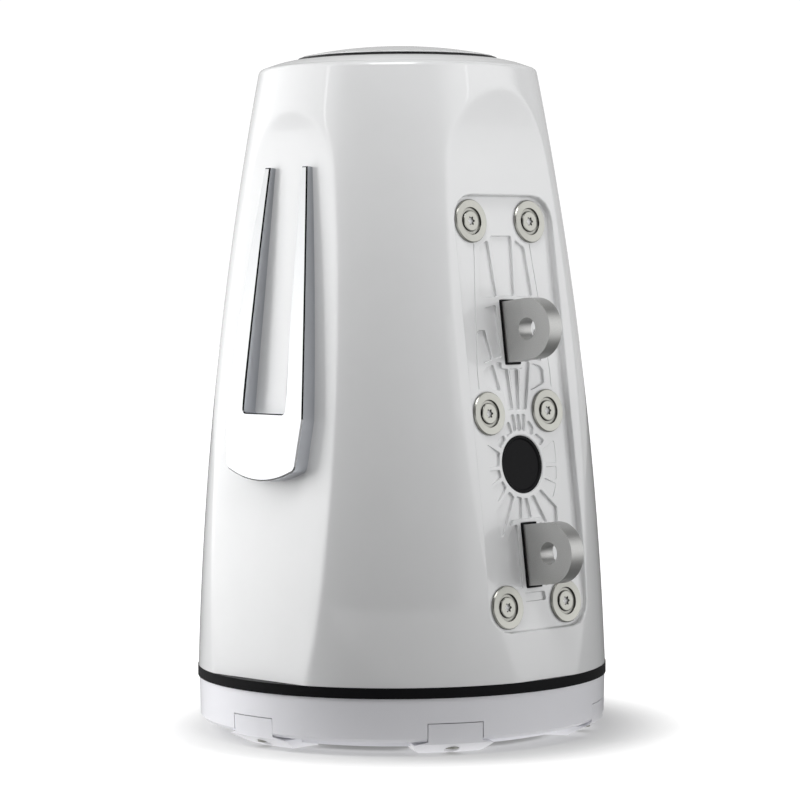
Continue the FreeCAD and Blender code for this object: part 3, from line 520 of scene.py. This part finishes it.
# Most that a rounding takes of a side or of a wall's height, and the turn between its points.
ROUND_SHARE = 0.45
ROUND_TURN = 0.35
ROUND_ANGLES = np.radians([0, 30, 60, 90])
MERGE_DISTANCE = 1e-5
SKIN_WALL = 1.2
WINDOW_HALF = 43.0
WINDOW_LOW = 44.0
WINDOW_HIGH = 270.0
RECESS_HALF_WIDTH = 33.2
RECESS_HALF_LENGTH = 102.5
RECESS_CORNER = 12.0
RECESS_STEP = 2.5
RECESS_RIM = 0.9
RECESS_FOOT = 0.8
POCKET_DEPTH = 1.4
POCKET_CORNER = 0.9
POCKET_RIM = 0.32
POCKET_FOOT = 0.3
PORT_OFFSET = -24.6
PORT_RADIUS = 13.6
PORT_RIM = 0.8
PORT_STEPS = 96
SLOT_RIM = 0.4
SLOT_CORNER = 0.6
OPENING_DEPTH = 2.6
OPENING_FOOT = 0.01
# The grid has columns at these distances from a crease, which is this far from its facet's
# middle at least.
NEAR_CREASE = (-4, -2, -1, -0.45, 0, 0.45, 1, 2, 4)
OUTER_COLUMN = -7
LEAST_CREASE = 8
# The window's edge stays this many radians from the columns of the facets on either side.
PAD_CLEARANCE = 0.02
FORK_CLEARANCE = 0.1
# Loose points lie in rows at these places v, this far apart, this far from the recess and
# from the window's edge.
LOOSE_ROWS = np.arange(-108, 116, 3.0)
LOOSE_STEP = 5.0
RECESS_GAP = 1.2
WINDOW_GAP = 1.5


def unit(vectors):
    return vectors / np.linalg.norm(vectors, axis=-1, keepdims=True)


def arc_points(start, end, radius, steps):
    """Points on an arc that bulges to the right of the way from start to end."""
    start = np.array(start)
    end = np.array(end)
    chord = end - start
    length = np.linalg.norm(chord)
    left = np.array([-chord[1], chord[0]]) / length
    centre = (start + end) / 2 + left * math.sqrt(radius ** 2 - length ** 2 / 4)
    first = math.atan2(*(start - centre)[::-1])
    last = math.atan2(*(end - centre)[::-1])
    angles = np.linspace(first, last, steps)
    return centre + radius * np.column_stack([np.cos(angles), np.sin(angles)])


def shoulder_arc():
    return arc_points(SHELL_SHOULDER, SHELL_CROWN, SHOULDER_ROUND, ARC_STEPS)


def shell_profile():
    """Radius against height of the round shell, without its facets."""
    side = arc_points(SHELL_FOOT, SHELL_SHOULDER, SIDE_BOW, 6 * ARC_STEPS)
    crown = arc_points(SHELL_CROWN, SHELL_LIP, CROWN_BOW, ARC_STEPS)
    return np.concatenate([side, shoulder_arc()[1:], crown[1:]])


def facet_profile(face, height, tilt, rise, run_out):
    """Height against distance from the axis of a flat facet that runs out in an arc."""
    bend = RUN_OUT_ANGLES
    along = np.concatenate([[FACET_FOOT, run_out - 1], run_out + RUN_OUT_RADIUS * np.sin(bend)])
    out = np.concatenate([[0, 0], RUN_OUT_RADIUS * (1 - np.cos(bend))]) + rise
    along = np.append(along, along[-1] + RUN_OUT_TAIL * math.cos(bend[-1]))
    out = np.append(out, out[-1] + RUN_OUT_TAIL * math.sin(bend[-1]))
    reach = face + out * math.cos(tilt) - along * math.sin(tilt)
    level = height + out * math.sin(tilt) + along * math.cos(tilt)
    return level, reach


PROFILE = shell_profile()
FORK_FACET = facet_profile(FORK_FACE, FORK_HEIGHT, FORK_TILT, 0.0, FORK_RUN_OUT)
FACETS = (
    (0.0, facet_profile(PAD_FACE, PAD_HEIGHT, PAD_TILT, FACET_RISE, PAD_RUN_OUT)),
    (math.pi / 2, FORK_FACET),
    (-math.pi / 2, FORK_FACET),
)


def shell_radius(angle, height):
    """Distance of the outer surface from the axis, with softened facet edges."""
    near = [np.interp(height, PROFILE[:, 1], PROFILE[:, 0]) + 0 * angle]
    for facet_angle, (level, reach) in FACETS:
        toward = np.cos(angle - facet_angle)
        flat = np.interp(height, level, reach) / np.maximum(toward, LEAST_COSINE)
        near.append(np.where(toward > LEAST_COSINE, flat, FAR_AWAY))
    near = np.array(near)
    least = near.min(axis=0)
    width = np.interp(height, ARCH_HEIGHTS, (CREASE_WIDTH, ARCH_WIDTH))
    return least - width * np.log(np.exp((least - near) / width).sum(axis=0))


def shell_points(angle, height):
    radius = shell_radius(angle, height)
    return np.stack([radius * np.cos(angle), radius * np.sin(angle), height + 0 * angle], -1)


def shell_normals(angle, height):
    turn = 0.0008
    rise = 0.06
    high = np.minimum(height + rise, SHELL_LIP[1])
    low = np.maximum(height - rise, SHELL_FOOT[1])
    across = shell_points(angle + turn, height) - shell_points(angle - turn, height)
    upward = shell_points(angle, high) - shell_points(angle, low)
    return unit(np.cross(across, upward))


def pad_to_row(w, u, v):
    """Pad frame to row frame, for places."""
    x = PAD_FACE + w * math.cos(PAD_TILT) - v * math.sin(PAD_TILT)
    z = PAD_HEIGHT + w * math.sin(PAD_TILT) + v * math.cos(PAD_TILT)
    return np.stack([x, u + 0 * x, z], -1)


def row_to_pad(points):
    x = points[..., 0] - PAD_FACE
    z = points[..., 2] - PAD_HEIGHT
    w = x * math.cos(PAD_TILT) + z * math.sin(PAD_TILT)
    v = z * math.cos(PAD_TILT) - x * math.sin(PAD_TILT)
    return w, points[..., 1], v


def pad_direction(w, u, v):
    """Pad frame to row frame, for directions."""
    x = w * math.cos(PAD_TILT) - v * math.sin(PAD_TILT)
    z = w * math.sin(PAD_TILT) + v * math.cos(PAD_TILT)
    return np.stack([x, u + 0 * x, z], -1)


def over_pad(u, v):
    """Height w, row place and row normal of the outer surface above a place on the pad."""
    w = np.full(np.shape(u), FACET_RISE)
    for _ in range(SEARCH_ROUNDS):
        point = pad_to_row(w, u, v)
        angle = np.arctan2(point[..., 1], point[..., 0])
        w = w - (np.hypot(point[..., 0], point[..., 1]) - shell_radius(angle, point[..., 2]))
    point = pad_to_row(w, u, v)
    angle = np.arctan2(point[..., 1], point[..., 0])
    return w, point, shell_normals(angle, point[..., 2])


class Skin:
    """A surface whose vertices carry their own exact normals."""

    def __init__(self):
        self.points = []
        self.normals = []
        self.faces = []

    def add(self, points, normals):
        first = len(self.points)
        self.points.extend(np.reshape(points, (-1, 3)))
        self.normals.extend(np.reshape(normals, (-1, 3)))
        return list(range(first, len(self.points)))

    def bridge(self, one, other):
        """Quads between two closed rings of the same length."""
        for i in range(len(one)):
            j = (i + 1) % len(one)
            self.faces.append((one[i], one[j], other[j], other[i]))

    def fill(self, flat, rings, loose=()):
        """Triangles inside the first ring and outside the others; flat holds (u, v)."""
        used = [index for ring in rings for index in ring] + list(loose)
        local = {index: i for i, index in enumerate(used)}
        edges = []
        for ring in rings:
            ids = [local[index] for index in ring]
            edges += list(zip(ids, ids[1:] + ids[:1]))
        places = [Vector(flat[index]) for index in used]
        found = delaunay_2d_cdt(places, edges, [], 0, MERGE_DISTANCE)
        origin = [used[ids[0]] for ids in found[3]]
        corners = np.array([[found[0][i][:] for i in face] for face in found[2]])
        keep = inside(corners.mean(axis=1), [np.array([flat[i] for i in r]) for r in rings])
        for face, kept in zip(found[2], keep):
            if kept:
                self.faces.append(tuple(origin[i] for i in face))

    def thickened(self, wall):
        """Faces turned outward, with an inner skin and closed rims."""
        points = np.array(self.points)
        normals = unit(np.array(self.normals))
        faces = []
        for face in self.faces:
            corner = points[list(face)]
            way = np.cross(corner[1] - corner[0], corner[2] - corner[0])
            if len(face) == 4:
                way = way + np.cross(corner[2] - corner[0], corner[3] - corner[0])
            outward = way @ normals[list(face)].sum(axis=0) > 0
            faces.append(face if outward else face[::-1])
        count = len(points)
        edges = {}
        for face in faces:
            for pair in zip(face, face[1:] + face[:1]):
                edges[pair] = edges.get(pair, 0) + 1
        rims = [pair for pair in edges if pair[::-1] not in edges]
        inner = [tuple(index + count for index in face[::-1]) for face in faces]
        closing = [(b, a, a + count, b + count) for a, b in rims]
        points = np.concatenate([points, points - normals * wall])
        normals = np.concatenate([normals, -normals])
        return points, normals, faces + inner + closing


def inside(places, loops):
    """True where a place is inside an odd number of loops."""
    odd = np.zeros(len(places), bool)
    for loop in loops:
        after = np.roll(loop, -1, axis=0)
        for (ax, ay), (bx, by) in zip(loop, after):
            if ay == by:
                continue
            spans = (ay > places[:, 1]) != (by > places[:, 1])
            cross = ax + (places[:, 1] - ay) * (bx - ax) / (by - ay)
            odd ^= spans & (places[:, 0] < cross)
    return odd


def rounded_outline(corners, radius, step=None):
    """A closed outline with rounded corners, and its outward normals.

    With a step, its straight stretches have points about that far apart.
    """
    corners = np.array(corners, float)
    after = np.roll(corners, -1, axis=0)
    if (corners[:, 0] * after[:, 1] - after[:, 0] * corners[:, 1]).sum() < 0:
        corners = corners[::-1]
    places = []
    outward = []
    for i, here in enumerate(corners):
        back = corners[i - 1] - here
        ahead = corners[(i + 1) % len(corners)] - here
        shortest = min(np.linalg.norm(back), np.linalg.norm(ahead))
        back = unit(back)
        ahead = unit(ahead)
        half = math.acos(float(np.clip(back @ ahead, -1, 1))) / 2
        reach = min(radius / math.tan(half), ROUND_SHARE * shortest)
        middle = here + unit(back + ahead) * reach / math.cos(half)
        convex = 1 if back[0] * ahead[1] - back[1] * ahead[0] < 0 else -1
        first = here + back * reach - middle
        last = here + ahead * reach - middle
        sweep = math.atan2(first[0] * last[1] - first[1] * last[0], first @ last)
        begin = math.atan2(first[1], first[0])
        steps = max(3, int(abs(sweep) / ROUND_TURN) + 1)
        for angle in np.linspace(begin, begin + sweep, steps):
            way = np.array([math.cos(angle), math.sin(angle)])
            places.append(middle + way * np.linalg.norm(first))
            outward.append(way * convex)
        if step:
            whole = np.linalg.norm(corners[(i + 1) % len(corners)] - here)
            gaps = int(whole / step)
            for part in range(1, gaps):
                places.append(here + ahead * (reach + (whole - 2 * reach) * part / gaps))
                outward.append(np.array([ahead[1], -ahead[0]]))
    return np.array(places), np.array(outward)


def sink(skin, flat, outline, outward, top, top_normals, bottom, rim, foot):
    """Rings of a hollow with a rounded rim and a rounded foot: first and last are returned."""
    depth = top - bottom
    rim = np.minimum(rim, ROUND_SHARE * depth)
    foot = np.minimum(foot, ROUND_SHARE * depth)
    up = pad_direction(np.ones(len(outline)), 0, 0)
    inward = pad_direction(np.zeros(len(outline)), -outward[:, 0], -outward[:, 1])
    rings = []
    for angle in ROUND_ANGLES:
        offset = rim * (1 - math.sin(angle))
        level = top - rim * (1 - math.cos(angle))
        normals = math.cos(angle) * top_normals + math.sin(angle) * inward
        rings.append((offset, level, normals))
    for angle in ROUND_ANGLES:
        offset = -foot * (1 - math.cos(angle))
        level = bottom + foot * (1 - math.sin(angle))
        rings.append((offset, level, math.cos(angle) * inward + math.sin(angle) * up))
    made = []
    for offset, level, normals in rings:
        place = outline + outward * np.reshape(offset, (-1, 1))
        made.append(skin.add(pad_to_row(level + 0 * place[:, 0], place[:, 0], place[:, 1]),
                             unit(normals)))
        flat.update(zip(made[-1], place))
    for one, other in zip(made, made[1:]):
        skin.bridge(one, other)
    return made[0], made[-1]


# Hollows of the pad. Each is a list of corners (u, v); those of PAIRED_HOLLOWS are on both
# sides of the pad's middle line.
MIDDLE_HOLLOWS = [
    [(-7.1, 83.7), (7.1, 83.7), (5.4, 55.2), (-5.4, 55.2)],
    [(-3.0, 20.6), (3.0, 20.6), (1.5, 1.2), (-1.5, 1.2)],
    [(-1.25, -1.0), (1.25, -1.0), (1.25, -8.7), (-1.25, -8.7)],
    [(-1.3, -40.7), (1.3, -40.7), (2.8, -50.2), (-2.8, -50.2)],
    [(-6.8, -84.9), (6.8, -84.9), (7.2, -88.9), (-7.2, -88.9)],
]
PAIRED_HOLLOWS = [
    [(9.2, 81.9), (15.4, 78.3), (17.9, 54.8), (6.6, 54.8)],
    [(21.8, 39.2), (16.9, 39.2), (13.4, 25.4), (19.6, 23.6)],
    [(13.4, 22.9), (18.7, 21.3), (20.5, 19.5), (20.3, 13.4), (14.6, 11.2), (9.9, 10.0)],
    [(11.6, 23.9), (7.8, 23.9), (7.8, 20.9), (3.9, 20.6), (2.7, 1.2), (6.5, 1.2)],
    [(2.5, -1.0), (5.1, -1.0), (3.9, -9.0), (2.1, -8.8)],
    [(6.0, -4.7), (7.4, -4.3), (9.8, -7.6), (8.9, -11.3), (4.8, -9.6)],
    [(10.9, -10.2), (16.7, -13.9), (13.5, -16.5), (9.9, -12.5)],
    [(10.8, -36.9), (20.9, -46.0), (19.9, -57.0), (17.4, -57.6), (7.6, -39.7)],
    [(2.4, -40.4), (5.9, -39.4), (12.9, -52.4), (11.2, -52.6), (9.6, -50.4), (4.1, -50.2)],
]
# These are deepest at the first of their two last numbers, u, and run out at the second,
# where LEAST_SHARE of the depth is left.
LEAST_SHARE = 0.06
SCOOPED_HOLLOWS = [
    ([(7.5, 50.8), (16.4, 49.6), (15.9, 38.4), (12.0, 25.4), (7.5, 26.4)], 7.5, 16.9),
    ([(7.5, -52.6), (9.4, -52.8), (14.6, -58.8), (16.0, -80.5), (7.5, -82.6)], 7.5, 17.0),
    ([(23.2, -14.0), (14.5, -18.5), (15.8, -24.9), (23.4, -24.9)], 15.0, 24.4),
    ([(23.1, -26.6), (15.7, -26.6), (14.9, -30.2), (22.4, -33.2)], 15.0, 24.4),
    ([(21.9, -34.9), (14.4, -31.8), (12.1, -35.3), (18.9, -41.6)], 12.0, 23.0),
]
GROOVES = [
    [(19.0, 80.0), (20.1, 68.0), (21.6, 55.0), (24.7, 20.0), (24.7, 11.5)],
]
GROOVE_WIDTH = 0.7
GROOVE_DEPTH = 0.35
GROOVE_CORNER = 0.3
# The lugs' slots: the middle's v, half the width, half the length.
SLOTS = ((38.0, 5.1, 15.3), (-67.3, 5.1, 15.3))


def strip(line, width):
    """The outline of a narrow strip along a line."""
    line = np.array(line)
    way = unit(np.gradient(line, axis=0))
    side = np.column_stack([-way[:, 1], way[:, 0]]) * width / 2
    return np.concatenate([line + side, (line - side)[::-1]])


def pad_hollows():
    """Corners, corner radius, and depth at each place, of every hollow in the pad floor."""
    def level_floor(depth):
        return lambda places: np.full(len(places), -depth)

    def sloped_floor(deepest, end):
        def floor(places):
            share = (end - np.abs(places[:, 0])) / (end - deepest)
            return -POCKET_DEPTH * np.clip(share, LEAST_SHARE, 1)
        return floor

    def mirrored(corners):
        return [(-u, v) for u, v in corners]

    for corners in MIDDLE_HOLLOWS:
        yield corners, POCKET_CORNER, level_floor(POCKET_DEPTH)
    for corners in PAIRED_HOLLOWS:
        yield corners, POCKET_CORNER, level_floor(POCKET_DEPTH)
        yield mirrored(corners), POCKET_CORNER, level_floor(POCKET_DEPTH)
    for corners, deepest, end in SCOOPED_HOLLOWS:
        yield corners, POCKET_CORNER, sloped_floor(deepest, end)
        yield mirrored(corners), POCKET_CORNER, sloped_floor(deepest, end)
    for line in GROOVES:
        outline = strip(line, GROOVE_WIDTH)
        yield outline, GROOVE_CORNER, level_floor(GROOVE_DEPTH)
        yield mirrored(outline), GROOVE_CORNER, level_floor(GROOVE_DEPTH)


def column_angles(height):
    """The angles of the grid's columns at a height, and how many of them span the pad's window."""
    radius = float(np.interp(height, PROFILE[:, 1], PROFILE[:, 0]))
    edge = np.array([OUTER_COLUMN, *NEAR_CREASE]) / radius
    centre = []
    for facet_angle, (level, reach) in FACETS:
        share = min(float(np.interp(height, level, reach)) / radius, 1)
        crease = max(math.acos(share), LEAST_CREASE / radius)
        half = crease + edge
        middle = np.linspace(0, half[0], 6)[:-1]
        right = np.concatenate([middle, half])
        centre.append(facet_angle + np.concatenate([-right[:0:-1], right]))
    mount, left, right = centre
    window = math.asin(WINDOW_HALF / max(radius, WINDOW_HALF + 1))
    window = min(max(window, mount[-1] + PAD_CLEARANCE), left[0] - FORK_CLEARANCE)
    near = np.linspace(mount[-1], window, 5)[1:]
    gap = np.linspace(window, left[0], 10)[1:-1]
    back = np.linspace(left[-1], right[0] + 2 * math.pi, 56)[1:-1]
    columns = np.concatenate([
        -near[::-1], mount, near, gap, left, back, right + 2 * math.pi, 2 * math.pi - gap[::-1],
    ])
    return columns, len(mount) + 2 * len(near)


def row_heights():
    """Heights of the grid's rows, close together where the shell bends."""
    roll = np.interp(np.linspace(0, 1, 9)[1:], np.linspace(0, 1, ARC_STEPS),
                     shoulder_arc()[:, 1])
    return np.concatenate([
        [32, 32.5, 34, 37, 40.5], np.linspace(WINDOW_LOW, WINDOW_HIGH, 66),
        np.arange(273, 285, 3), np.arange(286, 307, 0.7), np.arange(308, 318.5, 2),
        [SHELL_SHOULDER[1]], roll, np.linspace(SHELL_CROWN[1], SHELL_LIP[1], 12)[1:],
    ])


def recess_outline():
    width, length = RECESS_HALF_WIDTH, RECESS_HALF_LENGTH
    return rounded_outline(
        [(-width, -length), (width, -length), (width, length), (-width, length)],
        RECESS_CORNER, RECESS_STEP,
    )


def loose_places():
    """Extra grid points over the window, close together along the facet's edge."""
    places = []
    for v in LOOSE_ROWS:
        height = PAD_HEIGHT + FACET_RISE * math.sin(PAD_TILT) + v * math.cos(PAD_TILT)
        radius = float(np.interp(height, PROFILE[:, 1], PROFILE[:, 0]))
        level, reach = FACETS[0][1]
        distance = float(np.interp(height, level, reach))
        crease = math.sqrt(max(radius ** 2 - distance ** 2, 1))
        spread = np.arange(0, WINDOW_HALF, LOOSE_STEP)
        for u in np.concatenate([crease + np.array(NEAR_CREASE), spread]):
            if abs(u) < WINDOW_HALF - WINDOW_GAP:
                places += [(u, v), (-u, v)]
    places = np.array(places)
    away = np.abs(places) - np.array([RECESS_HALF_WIDTH, RECESS_HALF_LENGTH])
    return places[away.max(axis=1) > RECESS_GAP]


def add_grid(skin, flat):
    """The shell's grid of rows, open over the pad; returns the ring round that window."""
    heights = row_heights()
    rows = []
    for height in heights:
        columns, wide = column_angles(height)
        level = np.full(len(columns), height)
        rows.append(skin.add(shell_points(columns, level), shell_normals(columns, level)))
    low = int(np.argmin(np.abs(heights - WINDOW_LOW)))
    high = int(np.argmin(np.abs(heights - WINDOW_HIGH)))
    for i, (row, above) in enumerate(zip(rows, rows[1:])):
        for j in range(len(row)):
            if low <= i < high and j < wide - 1:
                continue
            k = (j + 1) % len(row)
            skin.faces.append((row[j], row[k], above[k], above[j]))
    border = rows[low][:wide]
    border = border + [rows[i][wide - 1] for i in range(low + 1, high + 1)]
    border = border + rows[high][:wide - 1][::-1]
    border = border + [rows[i][0] for i in range(high - 1, low, -1)]
    _, across, up = row_to_pad(np.array([skin.points[i] for i in border]))
    flat.update(zip(border, np.column_stack([across, up])))
    return border


def add_recess(skin, flat, border):
    """The surface between the window and the pad's floor; returns the ring round the floor."""
    outline, outward = recess_outline()
    edge = outline + outward * RECESS_RIM
    top, _, top_normals = over_pad(edge[:, 0], edge[:, 1])
    first, floor_ring = sink(skin, flat, outline, outward, top, top_normals,
                             np.zeros(len(outline)), RECESS_RIM, RECESS_FOOT)
    places = loose_places()
    _, row_places, row_normals = over_pad(places[:, 0], places[:, 1])
    loose = skin.add(row_places, row_normals)
    flat.update(zip(loose, places))
    skin.fill(flat, [border, first], loose)
    return floor_ring


def add_hollows(skin, flat):
    """The hollows in the pad's floor; returns the rings round them."""
    rings = []
    for corners, corner, floor in pad_hollows():
        outline, outward = rounded_outline(corners, corner)
        count = len(outline)
        up = pad_direction(np.ones(count), 0, 0)
        start, end = sink(skin, flat, outline, outward, np.zeros(count), up,
                          floor(outline), POCKET_RIM, POCKET_FOOT)
        rings.append(start)
        skin.fill(flat, [end])
    return rings


def add_openings(skin, flat):
    """The walls of the port and the lugs' slots; returns the rings round them."""
    rings = []
    circle = np.linspace(0, 2 * math.pi, PORT_STEPS, endpoint=False)
    outward = np.column_stack([np.cos(circle), np.sin(circle)])
    openings = [(outward * PORT_RADIUS + (0, PORT_OFFSET), outward, PORT_RIM)]
    for middle, half, long in SLOTS:
        corners = [(-half, middle - long), (half, middle - long),
                   (half, middle + long), (-half, middle + long)]
        openings.append((*rounded_outline(corners, SLOT_CORNER), SLOT_RIM))
    for outline, outward, rim in openings:
        count = len(outline)
        up = pad_direction(np.ones(count), 0, 0)
        start, _ = sink(skin, flat, outline, outward, np.zeros(count), up,
                        np.full(count, -OPENING_DEPTH), rim, OPENING_FOOT)
        rings.append(start)
    return rings


def build_skin():
    """Points, normals and faces of the housing's skin; flat holds (u, v) of points on the pad."""
    skin = Skin()
    flat = {}
    border = add_grid(skin, flat)
    floor_ring = add_recess(skin, flat, border)
    hollows = add_hollows(skin, flat)
    openings = add_openings(skin, flat)
    skin.fill(flat, [floor_ring, *hollows, *openings])
    return skin.thickened(SKIN_WALL)


def mesh_object(name, points, normals, faces, material):
    mesh = bpy.data.meshes.new(name)
    mesh.from_pydata([tuple(point * MM) for point in points], [], faces)
    mesh.shade_smooth()
    mesh.normals_split_custom_set_from_vertices([tuple(normal) for normal in normals])
    mesh.materials.append(material)
    piece = bpy.data.objects.new(name, mesh)
    bpy.context.scene.collection.objects.link(piece)
    return piece


def make_housing_skin():
    skin = mesh_object("housing_skin", *build_skin(), finishes["gloss_white"])
    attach(skin, "pod")
    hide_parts("housing_shell")


# Washers and screws on the pad ------------------------------------------------------------
# Corners are (distance from the screw's axis, height over the pad's floor).

SCREW_PLACES = [(u, v) for v in (90.6, 0.0, -90.6) for u in (-20.0, 20.0)]
WASHER_CORNERS = [(2.7, 0.05), (10.25, 0.05), (10.25, 0.9), (9.8, 1.4), (6.5, 1.15), (6.3, 0.2),
                  (2.7, 0.2)]
HEAD_CORNERS = [(1.85, -0.6), (4.9, 0.1), (4.9, 0.75), (4.5, 1.1), (1.85, 1.1)]
EDGE_ROUND = 0.12
LOBE = 0.35
LOBES = 6
LOBED_WIDTH = 0.3
RECESS_FLOOR = -0.2
PLUG_RADIUS = 2.4
PLUG_DEPTH = 0.9
PLUG_BORE = 0.05
PLUG_ROUND = 0.02
ROUND_STEPS = 120


def turned(corners, round_off, lobe=0.0):
    """Points, normals and faces of a ring turned round an axis, in (w, u, v).

    Its innermost wall has lobes of the given depth.
    """
    outline, outward = rounded_outline(corners, round_off)
    angles = np.linspace(0, 2 * math.pi, ROUND_STEPS, endpoint=False)
    innermost = outline[:, 0].min()
    points = []
    normals = []
    for angle in angles:
        wave = lobe * math.cos(LOBES * angle) * (outline[:, 0] < innermost + LOBED_WIDTH)
        distance = outline[:, 0] + wave
        points.append(np.column_stack([
            outline[:, 1], distance * math.cos(angle), distance * math.sin(angle)]))
        normals.append(np.column_stack([
            outward[:, 1], outward[:, 0] * math.cos(angle), outward[:, 0] * math.sin(angle)]))
    count = len(outline)
    faces = []
    for i in range(ROUND_STEPS):
        j = (i + 1) % ROUND_STEPS
        for k in range(count):
            m = (k + 1) % count
            faces.append((i * count + k, j * count + k, j * count + m, i * count + m))
    return np.concatenate(points), np.concatenate(normals), faces


def place_on_pad(shapes):
    """Points, normals and faces of the shapes, repeated at every screw."""
    points = []
    normals = []
    faces = []
    for u, v in SCREW_PLACES:
        for shape, directions, quads in shapes:
            first = sum(len(group) for group in points)
            points.append(pad_to_row(shape[:, 0], shape[:, 1] + u, shape[:, 2] + v))
            normals.append(pad_direction(directions[:, 0], directions[:, 1], directions[:, 2]))
            faces += [tuple(index + first for index in quad) for quad in quads]
    return np.concatenate(points), np.concatenate(normals), faces


def recess_plug():
    """A round plug that closes a screw's recess from behind."""
    back = RECESS_FLOOR - PLUG_DEPTH
    return turned([(PLUG_BORE, back), (PLUG_RADIUS, back), (PLUG_RADIUS, RECESS_FLOOR),
                   (PLUG_BORE, RECESS_FLOOR)], PLUG_ROUND)


def make_pad_hardware():
    shapes = {
        "washers": ("mount_washers", [turned(WASHER_CORNERS, EDGE_ROUND)]),
        "screws": ("mount_screws", [turned(HEAD_CORNERS, EDGE_ROUND, LOBE), recess_plug()]),
    }
    for name, (node, forms) in shapes.items():
        piece = mesh_object(name, *place_on_pad(forms), finishes["stainless"])
        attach(piece, "pod")
        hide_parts(node)


# Suspension -------------------------------------------------------------------------------

# Name, the node that it stands for, its finish, and its outer and inner radius in millimetres.
SUSPENSION = (
    ("surround_roll", "surround", "black_rubber", 64.0, 55.5),
    ("spider_waves", "spider", "spider_cloth", 47.0, 15.0),
)


def make_suspension():
    """Copies of the suspension's rings in place of their nodes;
    a share from their outer to their inner edge is worked out but not used.
    """
    for name, node, finish, outer, inner in SUSPENSION:
        piece = bpy.data.objects.new(name, nodes[node].data.copy())
        bpy.context.scene.collection.objects.link(piece)
        piece.matrix_world = nodes[node].matrix_world
        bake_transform(piece)
        distance = [math.hypot(point.co.x, point.co.y) / MM for point in piece.data.vertices]
        share = np.clip((outer - np.array(distance)) / (outer - inner), 0, 1)
        share = share * share * (3 - 2 * share)
        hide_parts(node)


make_camera()
make_studio()
bpy.context.scene.view_settings.view_transform = "Standard"
finishes = make_finishes()
# Painted reflection and painted shade on chrome.
paint_chrome_reflection_and_shade(finishes["chrome"])
# Painted shade in the hollows of stainless.
paint_shade_in_hollows(finishes["stainless"])
finish_cad_nodes()
make_housing_skin()
make_pad_hardware()
make_suspension()
